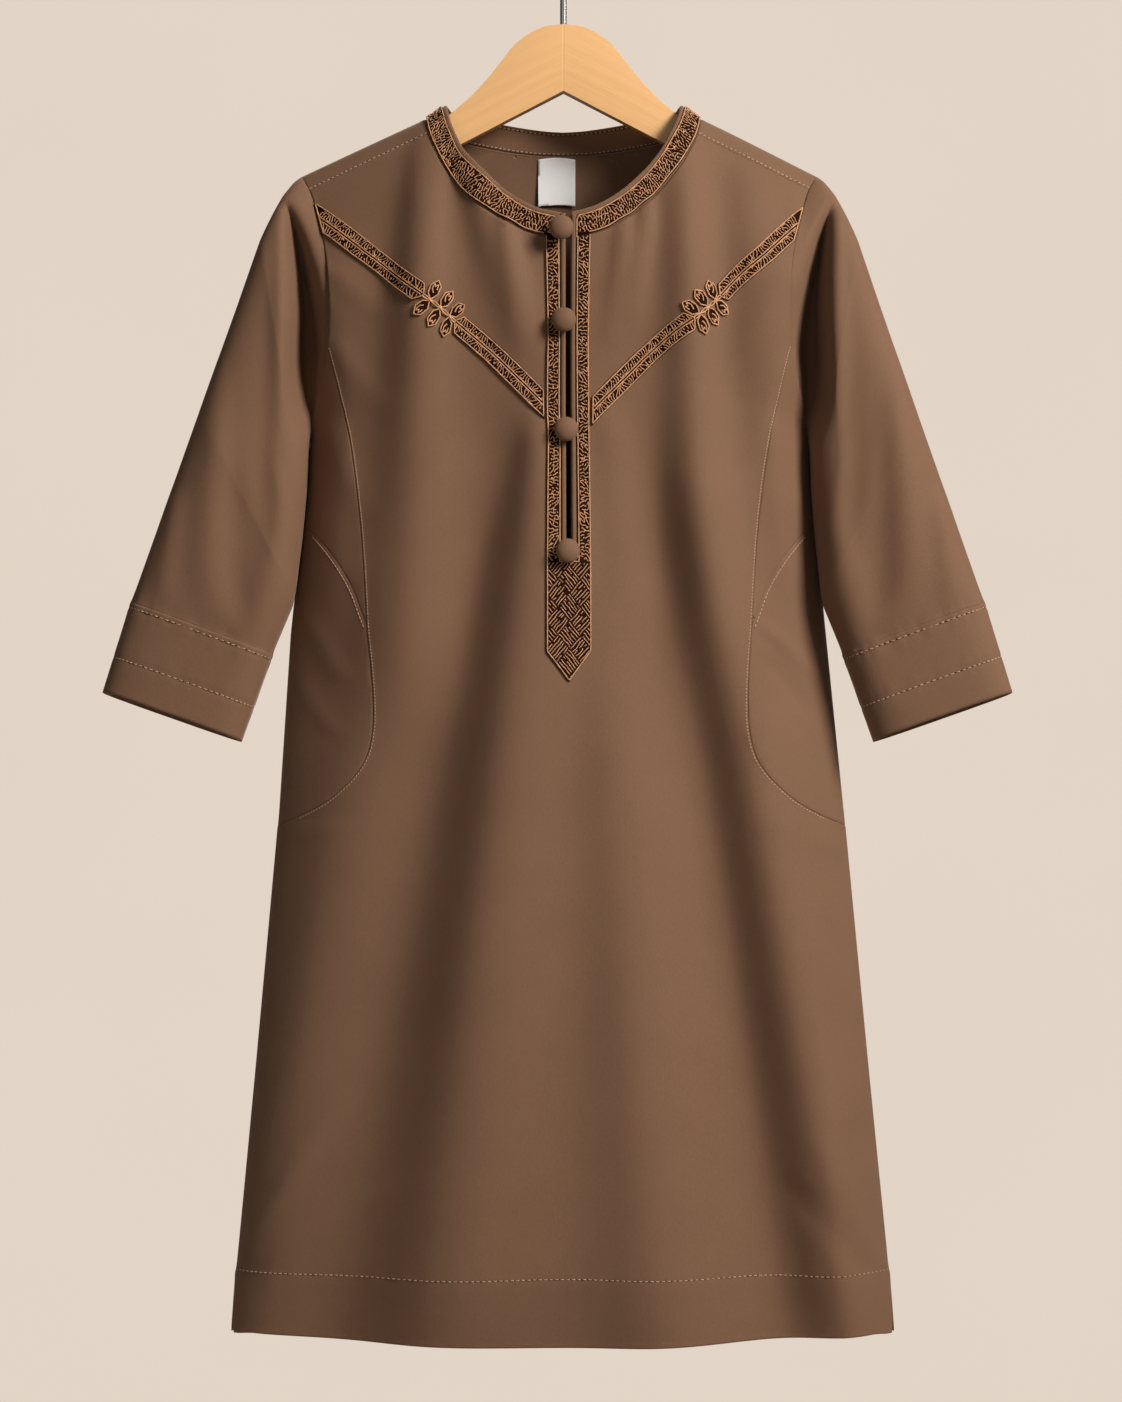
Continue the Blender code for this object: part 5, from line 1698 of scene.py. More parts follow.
@dataclass
class NeckBand(FrontWork):
    """The standing neck band with its braid, split at the opening."""

    wide: float = 0.0118
    margin: float = 0.0004
    braid_wide: float = 0.0094
    stand: float = 0.0018  # its free edge stands this far off the form
    bead: float = 0.0005
    bead_wide: float = 0.0010
    mesh_step: float = 0.0016
    lanes: int = 3
    lane_fill: float = 0.86  # of a lane, that its strokes fill
    near: float = 0.0004  # points nearer to the opening than this are left out
    inner_rows: Sequence[float] = (0.0012, 0.0104)  # the inner stitches' distances
    inner_lift: float = 0.98  # how far they follow the band's lift
    inner_sunk: float = 0.00004
    front_v: float = -0.012  # they stop this far down the front

    def __post_init__(self) -> None:
        """Sets out the neckline."""
        form = self.form
        front, back = (curve(table, 0.003) for table in (NECK_FRONT, NECK_BACK))
        self.halves = {
            side: np.vstack([form.flat(front, side), form.flat(back[1:], side, True)])
            for side in (1, -1)
        }
        self.whole = np.vstack([self.halves[1], self.halves[-1][::-1][1:]])

    def path(self, distance: float, back_off: float = 0.0) -> Line:
        """A line this far inside the neckline, from the opening's left edge round to its right.

        Args:
            distance: how far from the neckline.
            back_off: how far it stops short of the opening.

        Returns:
            The line.
        """
        ends = {}
        for side in (1, -1):
            moved = beside(self.halves[side], distance * side)
            edge = self.opening.edge(side) + side * back_off
            kept = moved[(moved[:, 0] * side > edge * side + self.near) | (moved[:, 1] > 0)]
            first = np.array([[edge, moved[0, 1]]])
            ends[side] = np.vstack([first, kept])
        return np.vstack([ends[1], ends[-1][::-1][1:]])

    def strip(self, near: float, far: float, back_off: float = 0.0) -> Line:
        """A strip between two distances inside the neckline."""
        return np.vstack([self.path(near, back_off), self.path(far, back_off)[::-1]])

    def share(self, places: Line) -> Array:
        """Share of the way from the neckline to the free edge."""
        return distance_to(self.whole, places) / self.wide

    def lift(self, places: Line) -> Array:
        """How far the band stands off the form."""
        return self.stand * smooth(self.share(places))

    def height(self, places: Line) -> Array:
        """Height of its outer face above that: a rolled bead runs along the free edge."""
        middle = self.wide - self.bead_wide
        past = (self.share(places) * self.wide - middle) / self.bead_wide
        return CLOTH + self.bead * np.exp(-(past**2))

    def build(self) -> list[Piece]:
        """Makes the band and its braid.

        Returns:
            What lies on the front.
        """
        shop = self.shop
        band = shop.hang(
            "neck_band_cloth", self.strip(0.0, self.wide), shop.finishes.twill,
            lift=self.lift, thick=self.height, step=self.mesh_step,
        )
        shop.own(band, "cloth", "neck_band")
        opening = self.opening
        outline = self.strip(self.margin, self.margin + self.braid_wide, opening.braid_off)
        ground = shop.ground(
            "neck_braid_ground", outline, "neck_braid",
            lift=lambda places: self.lift(places) + ON_CLOTH, step=self.mesh_step,
        )
        ornament = Ornament(seed=21)
        near, far = self.margin + ornament.inset, self.margin + self.braid_wide - ornament.inset
        back_off = opening.braid_off + ornament.inset
        borders = [ornament.edge(self.path(far, back_off))]
        low = self.path(near, back_off)
        past = np.abs(low[:, 0] - opening.middle) > opening.half + opening.braid_far
        borders.append(ornament.edge(low[past | (low[:, 1] > 0)]))
        for side, end in ((1, 0), (-1, -1)):
            points = [self.path(distance, back_off)[end] for distance in (near, far)]
            borders.append(ornament.edge(np.array(points)))
        trail = Trail(self.path(self.margin + self.braid_wide / 2, back_off))
        fill = self.braid_wide / 2 - ornament.fenced
        half = fill / self.lanes
        fence = tidy_outline(outline, ornament.fenced)
        strands = []
        for lane in range(self.lanes):
            middle = -fill + (2 * lane + 1) * half
            strands += ornament.lane(trail, 0.0, trail.length, middle, half * self.lane_fill, fence)
        lifted, edges = (
            [(places, lift + self.lift(places)) for places, lift in rows]
            for rows in (strands, borders)
        )
        cords = shop.braid("neck_braid", ornament, lifted, edges)
        rows = []
        for distance, lift in zip(self.inner_rows, (0.0, self.stand)):
            line = self.path(distance)
            line = line[line[:, 1] > self.front_v]
            rows.append((resample(line, 0.002), lift * self.inner_lift - self.inner_sunk))
        inner = shop.sew("neck_band_inner_stitches", rows)
        return [band, ground, *cords, *inner]

    def lift_above(self, places: Line) -> Array:
        """The band's lift above its lower edge, and none on the front under it."""
        return np.where(places[:, 1] > self.whole[0, 1], self.lift(places), 0.0)


@dataclass
class Placket(FrontWork):
    """Bindings, braids and the pointed panel round the opening."""

    neck: NeckBand
    binding_thick: float = 0.0008
    inner_foot_z: float = -0.3345  # where the two strips become one, under the last button
    corner_z: float = -0.3795
    tip_z: float = -0.3945
    lane_fill: float = 0.90

    def corners(self) -> Line:
        """The braid's outline: two strips that become one panel, which ends in a point.

        Returns:
            The outline.
        """
        opening = self.opening
        halves = {}
        for side in (1, -1):
            inner, far = (
                opening.edge(side) + side * off for off in (opening.braid_off, opening.braid_far)
            )
            tops = [float(read(NECK_FRONT, abs(x))) + self.neck.margin for x in (inner, far)]
            halves[side] = [
                (inner, self.inner_foot_z), (inner, tops[0]), (far, tops[1]), (far, self.corner_z)
            ]
        return self.form.flat([*halves[1], (opening.middle, self.tip_z), *halves[-1][::-1]])

    def build(self) -> list[Piece]:
        """Makes the strips and their cords.

        Returns:
            All of them.
        """
        shop, opening = self.shop, self.opening
        strands = []
        ornament = Ornament(seed=31)
        outline = self.corners()
        fence = tidy_outline(outline, ornament.fenced)
        nodes = ("placket_braid_left", "placket_braid_right", "placket_tip")
        made = [shop.ground("placket_ground", outline, *nodes)]
        border = tidy_outline(outline, ornament.inset)
        borders = [ornament.edge(border[2:7]), ornament.edge(np.vstack([border[7:], border[:2]]))]
        for place in Side:
            side = place.value
            near = opening.edge(side)
            foot = self.inner_foot_z + opening.gap
            low = self.form.flat([(near, foot), (near + side * opening.binding, foot)])
            top = self.neck.whole[0, 1] + self.neck.wide
            strip = np.array([low[0], low[1], (low[1, 0], top), (low[0, 0], top)])
            fold = shop.hang(
                f"opening_binding_{place.word}_cloth", strip, shop.finishes.twill,
                lift=lambda places: self.neck.lift_above(places) + ON_CLOTH,
                thick=self.binding_thick + 0.0003, step=0.004,
                roll=((0.00025, -0.0007), (0.0007, -0.00025)), wall=self.binding_thick,
            )
            made.append(shop.own(fold, "cloth", f"opening_binding_{place.word}"))
            middle = near + side * (opening.braid_off + opening.braid / 2)
            top = float(read(NECK_FRONT, abs(middle))) + self.neck.margin
            trail = Trail(self.form.flat([(middle, top), (middle, self.inner_foot_z)]))
            fill = opening.braid / 2 - ornament.fenced
            for sign in (-1, 1):
                half = fill / 2 * self.lane_fill
                strands += ornament.lane(trail, 0.0, trail.length, sign * fill / 2, half, fence)
        low = outline[[3, 5]]
        low[:, 1] = outline[0, 1]
        panel = np.vstack([low[:1], outline[3:6], low[1:]])
        strands += ornament.basket(tidy_outline(panel, ornament.fenced))
        return made + shop.braid("placket", ornament, strands, borders)


@dataclass
class ChestBands(FrontWork):
    """The slanting braids from armhole to opening, with a knot in the middle of each."""

    wide: float = 0.0100
    armhole_clear: float = 0.0007
    core: float = 0.0006  # the two cords down its middle are this far from the middle
    core_start: float = 0.0022  # from its tip
    point: float = 0.0042
    lines: dict = field(
        default_factory=lambda: {
            "left": ((0.1186, -0.1650), (0.0759, -0.2047), (0.0645, -0.2150), (0.0138, -0.2612)),
            "right": (
                (-0.1223, -0.1628), (-0.0683, -0.2047), (-0.0545, -0.2163), (-0.0094, -0.2583),
            ),
        }
    )
    leaf: Sequence[Row] = (
        (0.0004, 0.0000), (0.0032, 0.0028), (0.0074, 0.0030), (0.0098, 0.0002),
        (0.0070, -0.0029), (0.0030, -0.0026), (0.0004, 0.0000),
    )
    leaf_thick: float = 0.0004
    leaf_leans: Sequence[float] = (-0.30, 0.05, 0.42)  # of each pair, towards the lower braid
    curl: Sequence[Row] = (  # in a leaf, in halves of its length and of its width
        (0.299, 0.0), (-0.138, 0.483), (-0.644, 0.315), (-0.345, -0.021), (-0.621, -0.378),
        (-0.069, -0.462),
    )
    curl_sunk: float = 0.0001
    knot_cord: float = 0.00038  # radius
    knot_lift: float = 0.00075
    stem_lift: float = 0.00045  # of the crossing cords above the leaves' cords
    stem_weave: float = 0.00012

    def outline(self, place: Side, part: str) -> Line:
        """A braid with a point towards the knot.

        Args:
            place: its side of the chest.
            part: "upper", by the armhole, or "lower".

        Returns:
            Its outline: end, shoulder, tip, shoulder, end.
        """
        outer, upper, lower, inner = self.form.flat_seen(self.lines[place.word])
        side = place.value
        if part == "upper":
            tip, far = upper, outer
            fence = self.form.flat(curve(ARMHOLE_FRONT), side)
            fence[:, 0] -= side * self.armhole_clear
        else:
            tip, far = lower, inner
            edge = self.opening.edge(side) + side * (self.opening.braid_far + self.opening.gap)
            fence = self.form.flat([(edge, z) for z in (-0.230, -0.290)])
        way = (far - tip) / norm(far - tip)
        over = np.array([-way[1], way[0]]) * self.wide / 2
        shoulder = tip + way * self.point
        return np.array(
            [meet(fence, shoulder + over, way), shoulder + over, tip, shoulder - over,
             meet(fence, shoulder - over, way)]
        )

    def build(self) -> list[Piece]:
        """Makes the braids and the knots.

        Returns:
            All of them.
        """
        shop, ornament = self.shop, Ornament(seed=41)
        made, strands, borders = [], [], []
        for place in Side:
            for part in ("upper", "lower"):
                outline = self.outline(place, part)
                name = f"chest_braid_{part}_{place.word}"
                made.append(shop.ground(f"{name}_ground", outline, name))
                edge = tidy_outline(outline, ornament.inset)
                borders.append(ornament.edge(np.vstack([edge, edge[:1]])))
                fence = tidy_outline(outline, ornament.fenced)
                trail = Trail(np.array([outline[2], (outline[0] + outline[4]) / 2]))
                trail = Trail(trail.at([0.0, trail.length + self.wide], 0.0))
                for sign in (-1, 1):
                    along = np.linspace(self.core_start, trail.length, 60)
                    line = trail.at(along, sign * self.core)
                    borders += ornament.within(fence, [ornament.edge(line)])
                    lane = (self.wide / 2 + self.core) / 2 - ornament.border / 2
                    half = (self.wide / 2 - self.core - ornament.fenced - ornament.border) / 2
                    strands += ornament.lane(trail, 0.0, trail.length, sign * lane, half, fence)
            made += self.knot(place)
        return made + shop.braid("chest_braid", ornament, strands, borders)

    def knot(self, place: Side) -> list[Piece]:
        """A stem of two crossing cords with three pairs of pointed leaves, looped inside.

        Args:
            place: its side of the chest.

        Returns:
            Its cords and the grounds of its leaves.
        """
        shop = self.shop
        _, upper, lower, _ = self.form.flat_seen(self.lines[place.word])
        way = (lower - upper) / norm(lower - upper)
        over = np.array([-way[1], way[0]])
        length = float(norm(lower - upper))
        leaf = resample(np.array(self.leaf), 0.0008)
        middle = leaf.mean(0)
        inner = middle - np.array(self.curl) * np.ptp(leaf, axis=0) / 2
        loops, grounds = [], []
        height = ON_CLOTH + self.knot_lift
        for pair, lean in enumerate(self.leaf_leans):
            base = upper + way * length * (pair + 0.5) / len(self.leaf_leans)
            for sign in (1, -1):
                along = over * sign * math.cos(lean) + way * math.sin(lean)
                aside = way * math.cos(lean) - over * sign * math.sin(lean)
                shape, curl = (
                    base + along * line[:, :1] + aside * line[:, 1:]
                    for line in (leaf, curve(inner, 0.0008))
                )
                grounds.append(shape)
                loops.append((shape, np.full(len(shape), height)))
                loops.append((curl, np.full(len(curl), height - self.curl_sunk)))
        share = np.linspace(-0.04, 1.04, 40)
        turn = share * math.pi * len(self.leaf_leans)
        for sign in (-1, 1):
            beside_stem = (sign * self.core * np.cos(turn))[:, None]
            line = upper + way * (share * length)[:, None] + over * beside_stem
            loops.append((line, height + self.stem_lift + self.stem_weave * sign * np.sin(turn)))
        name = f"knot_{place.word}"
        cords = shop.cords(f"{name}_cords", loops, self.knot_cord, shop.finishes.cord)
        shop.own(cords, "braid", name)
        return [cords] + [
            shop.ground(f"{name}_leaf_{k}", shape[:-1], thick=self.leaf_thick, roll=())
            for k, shape in enumerate(grounds, 1)
        ]


@dataclass
class Buttons(Work):
    """Four ball buttons covered in the robe's cloth."""

    radius: float = 0.0060
    flatness: float = 0.62
    places: Sequence[Row] = (
        (-0.0010, -0.1722), (-0.0001, -0.2166), (0.0003, -0.2710), (0.0005, -0.3302),
    )
    under: float = 0.00305  # what lies under a button
    neck_extra: float = 0.0028  # the top button sits on the neck band
    pleats: int = 14
    pleat_deep: float = 0.035

    def build(self) -> None:
        """Makes each button with the soft gathers at its foot."""
        for number, (x, z) in enumerate(self.places, 1):
            ball = bmesh.new()
            bmesh.ops.create_uvsphere(ball, u_segments=48, v_segments=32, radius=1.0)
            place = self.form.flat([(x, z)])
            under = self.under + (self.neck_extra if number == 1 else 0.0)
            middle = Vector(self.form.hang(place, under + self.radius * self.flatness)[0])
            turned = Vector(self.form.outward(place)[0]).to_track_quat("Z", "Y")
            for vert in ball.verts:
                around = math.atan2(vert.co.y, vert.co.x)
                low = max(0.0, -vert.co.z)
                wave = 0.5 + 0.5 * math.cos(self.pleats * around + number)
                pleat = 1 - self.pleat_deep * low**2 * wave
                flat = Vector((vert.co.x * pleat, vert.co.y * pleat, vert.co.z * self.flatness))
                vert.co = turned @ (flat * self.radius) + middle
            name = f"button_{number}"
            made = from_shape(f"{name}_cover", ball, self.shop.finishes.button_twill)
            self.shop.own(made, "button", name)


@dataclass
class Label(Work):
    """The bare ribbon label inside the back of the neck."""

    x: float = -0.0034
    wide: float = 0.0190
    tall: float = 0.0236
    top_z: float = -0.1302
    off: float = 0.0006  # how far it stands off the back at its top
    curl: float = 0.0013  # and how much further at its foot
    curl_power: float = 1.6
    wall: float = 0.0004

    def build(self) -> None:
        """Makes the ribbon."""
        half, foot = self.wide / 2, self.top_z - self.tall
        corners = [(self.x - half, self.top_z), (self.x + half, self.top_z),
                   (self.x + half, foot), (self.x - half, foot)]
        outline = self.form.flat(corners, 1, True)
        top = float(outline[:, 1].min())

        def hung(places: Line) -> Array:
            """The ribbon stands off the back more towards its foot."""
            down = np.clip((places[:, 1] - top) / self.tall, 0, 1)
            return -self.off - self.curl * down**self.curl_power

        ribbon = self.shop.hang(
            "label_ribbon", outline, self.shop.finishes.ribbon, lift=hung, thick=0.0, step=0.0015,
            roll=(), flip=True, wall=self.wall,
        )
        self.shop.own(ribbon, "label", "label")


# --- the sleeves ---

SLEEVE_LINES = (  # share of the way to the wrist, outer x and z, inner x and z
    (0.00, 0.1312, -0.1434, 0.1279, -0.2720),
    (0.04, 0.1375, -0.1478, 0.1279, -0.2770),
    (0.08, 0.1420, -0.1550, 0.1284, -0.2850),
    (0.16, 0.1500, -0.1745, 0.1291, -0.3000),
    (0.30, 0.1617, -0.2085, 0.1311, -0.3220),
    (0.50, 0.1802, -0.2610, 0.1343, -0.3490),
    (0.56, 0.1866, -0.2789, 0.1357, -0.3560),
    (0.815, 0.2137, -0.3550, 0.1458, -0.3800),
    (1.00, 0.2276, -0.3998, 0.1613, -0.4232),
)
LEFT_SLEEVE_IN = ((0.0, 0.0041), (0.16, 0.0046), (0.5, 0.0054), (0.8, 0.0058), (1.0, 0.0060))
SLEEVE_DEPTH = ((0.00, 0.0200), (0.16, 0.0205), (0.50, 0.0185), (1.00, 0.0145))
SLEEVE_FORWARD = ((0.00, 0.0), (0.16, -0.0060), (0.50, -0.0120), (1.00, -0.0140))
VALLEY = (  # height, distance from the centre line, half width, share of the depth
    (-0.1550, 0.1385, 0.0022, 0.00),
    (-0.1640, 0.1355, 0.0030, 0.22),
    (-0.1750, 0.1330, 0.0040, 0.45),
    (-0.1900, 0.1303, 0.0050, 0.58),
    (-0.2050, 0.1288, 0.0056, 0.62),
    (-0.2300, 0.1276, 0.0054, 0.60),
    (-0.2550, 0.1272, 0.0046, 0.42),
    (-0.2750, 0.1275, 0.0036, 0.00),
)
RIDGE = metres(  # height, distance from the centre line, half width, how far it stands out
    (-155, 139, 3, 0), (-175, 138, 4.8, 2.4), (-210, 138, 5.8, 4.4), (-260, 138.2, 7, 5),
    (-320, 139.8, 9, 4.8), (-370, 147.5, 11, 2.8), (-410, 164, 12, 0.8),
)


@dataclass
class SleeveForm(Form):
    """The tube that a sleeve hangs in. On its pattern u runs round it and v down it."""

    body: RobeForm
    side: Side
    run: float = 0.2700
    half: float = 0.0750  # from the outer fold to the seam
    lean: float = 0.008
    lean_x: float = 0.33  # the lean's direction in the front view
    lean_z: float = -0.94
    evenness: float = 0.35  # 1 spreads the pattern evenly from fold to seam
    reach: float = 0.16  # over this share of its length it takes its own form
    underarm_clear: float = 0.0029
    clear_share: float = 0.05
    free_share: float = 0.03  # from here on its outer side faces its own way
    back_valley: float = 0.16
    outer_power: float = 3.4  # 2 is an ellipse, and more is flatter with a sharper outer fold
    inner_power: float = 2.8
    creases: Sequence[Row] = (  # u and v of each end, half width, how far out
        (0.016, 0.118, 0.038, 0.205, 0.0095, 0.0024),
        (0.030, 0.128, 0.047, 0.196, 0.0080, -0.0014),
        (0.010, 0.172, 0.020, 0.214, 0.0060, 0.0012),
        (0.050, 0.080, 0.034, 0.140, 0.0090, 0.0010),
        (0.044, -0.040, 0.050, 0.150, 0.0110, -0.0034),
        (-0.020, 0.110, -0.046, 0.205, 0.0110, 0.0022),
        (-0.048, 0.070, -0.024, 0.150, 0.0100, 0.0012),
    )

    def __post_init__(self) -> None:
        """Sets out the armhole that the sleeve starts from."""
        side = self.side.value
        self.turns = np.linspace(-1, 1, 481)
        across = self.share_across(np.abs(self.turns))
        start = np.empty((len(self.turns), 3))
        out = np.empty_like(start)
        for behind in (False, True):
            table = ARMHOLE_BACK if behind else ARMHOLE_FRONT
            line = self.body.flat(curve(table)[:-1], side, behind)
            line = np.vstack([line, self.body.side_at(UNDERARM_Z, side, behind)])
            run = lengths(line)
            mine = (self.turns < 0) == behind
            places = pick(line, run, across[mine] * run[-1])
            start[mine] = self.body.surface(places)
            out[mine] = self.body.outward(places)
        self.near_underarm = smooth((np.abs(self.turns) - 0.55) / 0.3)
        self.start = start
        self.clear = out * (self.underarm_clear * self.near_underarm)[:, None]
        self.start_out = out

    def share_across(self, turn: Array) -> Array:
        """Share of the way from the outer fold to the seam."""
        rounded = (1 - np.cos(math.pi * turn)) / 2
        return self.evenness * turn + (1 - self.evenness) * rounded

    def surface(self, places: Line) -> Array:
        """The inner face of the sleeve at places on its pattern.

        Args:
            places: the places.

        Returns:
            A point for each.
        """
        turn = (places[:, 0] / self.half + 1) % 2 - 1
        share = np.clip(places[:, 1] / self.run, 0, 1)
        across = self.share_across(np.abs(turn))
        outer_x, outer_z, inner_x, inner_z = (read(SLEEVE_LINES, share, k) for k in range(1, 5))
        nearer = read(LEFT_SLEEVE_IN, share) if self.side is Side.LEFT else 0.0
        depth = read(SLEEVE_DEPTH, share)
        power = np.where(across < 0.5, self.outer_power, self.inner_power)
        deep = depth * (1 - np.abs(1 - 2 * across) ** power).clip(0) ** (1 / power)
        y = np.where(turn > 0, -deep, deep)
        lean = self.lean * 2 * self.half * share**2 * (y / depth)
        x = outer_x + across * (inner_x - outer_x) - nearer + self.lean_x * lean
        z = outer_z + across * (inner_z - outer_z) + self.lean_z * lean
        own = np.column_stack([self.side.value * x, y + read(SLEEVE_FORWARD, share), z])
        reached = np.sin(math.pi / 2 * np.minimum(share / self.reach, 1.0))[:, None]
        start = pick(self.start, self.turns, turn)
        start += pick(self.clear, self.turns, turn) * smooth(share / self.clear_share)[:, None]
        place = start * (1 - reached) + own * reached
        level = np.abs(place[:, 0]) + nearer
        middle, wide, taken = (read(VALLEY, place[:, 2], k) for k in (1, 2, 3))
        dip = 2 * deep * taken * np.exp(-(((level - middle) / wide) ** 2)) * smooth(share / 0.02)
        middle, wide, rise = (read(RIDGE, place[:, 2], k) for k in (1, 2, 3))
        rise = rise * np.exp(-(((level - middle) / wide) ** 2)) * deep / depth
        place[:, 1] += np.where(turn > 0, dip - rise, -dip * self.back_valley)
        return place

    def outward(self, places: Line) -> Array:
        """The direction out of the sleeve.

        Args:
            places: places on the pattern.

        Returns:
            A direction for each.
        """
        out = self.slopes(places) * self.side.value
        turn = (places[:, 0] / self.half + 1) % 2 - 1
        share = np.clip(places[:, 1] / self.run, 0, 1)
        near = np.interp(turn, self.turns, self.near_underarm)
        weight = ((1 - near) * (1 - smooth(share / self.free_share)))[:, None]
        return unit(out * (1 - weight) + pick(self.start_out, self.turns, turn) * weight)

    def wrinkles(self, places: Line) -> Array:
        """How far the creases push the cloth out.

        Args:
            places: places on the pattern.

        Returns:
            A distance for each.
        """
        total = np.zeros(len(places))
        for u0, v0, u1, v1, wide, rise in self.creases:
            start, way = np.array([u0, v0]), np.array([u1 - u0, v1 - v0])
            length = float(norm(way))
            way /= length
            gap = places - start
            along = gap @ way / length
            aside = gap @ np.array([-way[1], way[0]])
            shown = smooth(along / 0.5 + 0.5) * smooth((1 - along) / 0.5 + 0.5)
            total += rise * shown * np.exp(-((aside / wide) ** 2))
        return total

    def hang(self, places: Line, lift: Value) -> Array:
        """Points over the pattern, lifted off the sleeve's inner face."""
        height = np.reshape(lift + self.wrinkles(places), (-1, 1))
        return self.surface(places) + self.outward(places) * height


@dataclass
class Sleeve(Work):
    """A sleeve and its deep cuff."""

    cuff_share: float = 0.815
    seam_row_share: float = 0.8255
    hem_row_share: float = 0.928
    cuff_swell: float = 0.0004
    sunk: float = 0.00012  # the stitches lie this much in
    sewn_round: float = 0.985  # of the way round
    mesh_step: float = 0.0018
    swell_wide: float = 0.0035
    stitch_dip: float = 0.00026
    dip_wide: float = 0.0012
    seam_pucker: float = 0.00034
    hem_pucker: float = 0.00014
    pucker_wide: float = 0.0062
    pucker_above: float = 0.0015  # this far above the stitches they are deepest
    pucker_long: float = 0.0074  # from one pucker to the next
    pucker_drift: float = 1.9  # how far, in radians, that wanders
    drift_long: float = 2 * math.pi / 310

    def height(self, places: Line) -> Array:
        """Height of the outer face: the cuff swells out, drawn in and puckered by its stitches.

        Args:
            places: places on the pattern.

        Returns:
            The height at each place.
        """
        down = places[:, 1]
        seam = self.cuff_share * self.form.run
        swell = self.cuff_swell * smooth((down - seam) / self.swell_wide + 0.5)
        total = CLOTH + swell
        for row, pucker in (
            (self.seam_row_share, self.seam_pucker), (self.hem_row_share, self.hem_pucker)
        ):
            past = down - row * self.form.run
            total = total - self.stitch_dip * np.exp(-((past / self.dip_wide) ** 2))
            drift = self.pucker_drift * np.sin(places[:, 0] * 2 * math.pi / self.drift_long)
            wave = np.sin(places[:, 0] * 2 * math.pi / self.pucker_long + drift)
            reach = np.exp(-(((past + self.pucker_above) / self.pucker_wide) ** 2))
            total = total + pucker * wave * reach
        return total

    def build(self) -> dict[str, Piece]:
        """Makes sleeve, cuff and stitches.

        Returns:
            The two cloth pieces, by name.
        """
        form, shop, word = self.form, self.shop, self.form.side.word
        seam = self.cuff_share * form.run
        made = {}
        for name, top, foot in (
            (f"sleeve_{word}", 0.0, seam), (f"cuff_{word}", seam, form.run)
        ):
            half = form.half
            corners = np.array([(-half, top), (half, top), (half, foot), (-half, foot)])
            piece = shop.hang(
                f"{name}_cloth", corners, shop.finishes.twill, thick=self.height,
                step=self.mesh_step, roll=(), inset=0.0, flip=form.side is Side.RIGHT,
            )
            made[name] = shop.own(piece, "cloth", name)
        rows = []
        for share in (self.seam_row_share, self.hem_row_share):
            half = form.half * self.sewn_round
            line = np.column_stack([np.linspace(-half, half, 120), np.full(120, share * form.run)])
            rows.append((line, CLOTH + self.cuff_swell - self.sunk))
        shop.sew(f"cuff_{word}_stitches", rows)
        return made


# --- the hanger ---


@dataclass
class Hanger(Work):
    """The flat wooden hanger."""

    half_thick: float = 0.0060
    end_thin: float = 0.32  # how much of that its ends lose
    thin_from: float = 0.085  # from this far out
    edge: float = 0.0016
    edge_steps: int = 5
    cut_half: float = 0.112  # the plank is cut across this far out
    cuts: int = 57
    top: Sequence[Row] = (
        (0.0000, -0.0659), (0.0095, -0.0672), (0.0165, -0.0703), (0.0245, -0.0763),
        (0.0315, -0.0850), (0.0385, -0.0937), (0.0459, -0.1015), (0.0516, -0.1065),
        (0.0563, -0.1104), (0.0640, -0.1152), (0.0720, -0.1192), (0.0900, -0.1282),
        (0.1120, -0.1396),
    )
    end: Sequence[Row] = ((0.1160, -0.1435), (0.1172, -0.1490), (0.1150, -0.1545))
    under: Sequence[Row] = (
        (0.1080, -0.1530), (0.0720, -0.1358), (0.0522, -0.1262), (0.0000, -0.0992),
    )

    def build(self) -> None:
        """Makes the plank with its rounded edges."""
        half = np.vstack([curve(self.top, 0.003), curve(self.end, 0.003), curve(self.under, 0.006)])
        mirrored = half[::-1] * np.array([-1.0, 1.0])
        outline = np.vstack([half, mirrored[np.abs(mirrored[:, 0]) > 1e-6]])
        plank = bmesh.new()
        plank.faces.new([plank.verts.new((x, -1.0, z)) for x, z in outline])
        for x in np.linspace(-self.cut_half, self.cut_half, self.cuts):
            bmesh.ops.bisect_plane(
                plank, geom=[*plank.verts, *plank.edges, *plank.faces], dist=1e-5,
                plane_co=(float(x), 0, 0), plane_no=(1, 0, 0),
            )
        pushed = bmesh.ops.extrude_face_region(plank, geom=list(plank.faces), use_keep_orig=True)
        for vert in (item for item in pushed["geom"] if isinstance(item, bmesh.types.BMVert)):
            vert.co.y = 1.0
        bmesh.ops.recalc_face_normals(plank, faces=plank.faces)
        for vert in plank.verts:
            thin = 1 - self.end_thin * float(smooth(abs(vert.co.x) / self.thin_from))
            vert.co.y *= self.half_thick * thin
        rim = [
            edge for edge in plank.edges
            if edge.calc_face_angle(0) > math.radians(60)
            and abs(edge.verts[0].co.y - edge.verts[1].co.y) < 0.004
        ]
        bmesh.ops.bevel(
            plank, geom=rim, offset=self.edge, segments=self.edge_steps, profile=0.5,
            affect="EDGES", material=-1, clamp_overlap=True,
        )
        made = from_shape("hanger_wood_plank", plank, self.shop.finishes.beech)
        self.shop.own(made, "wood", "hanger_wood")


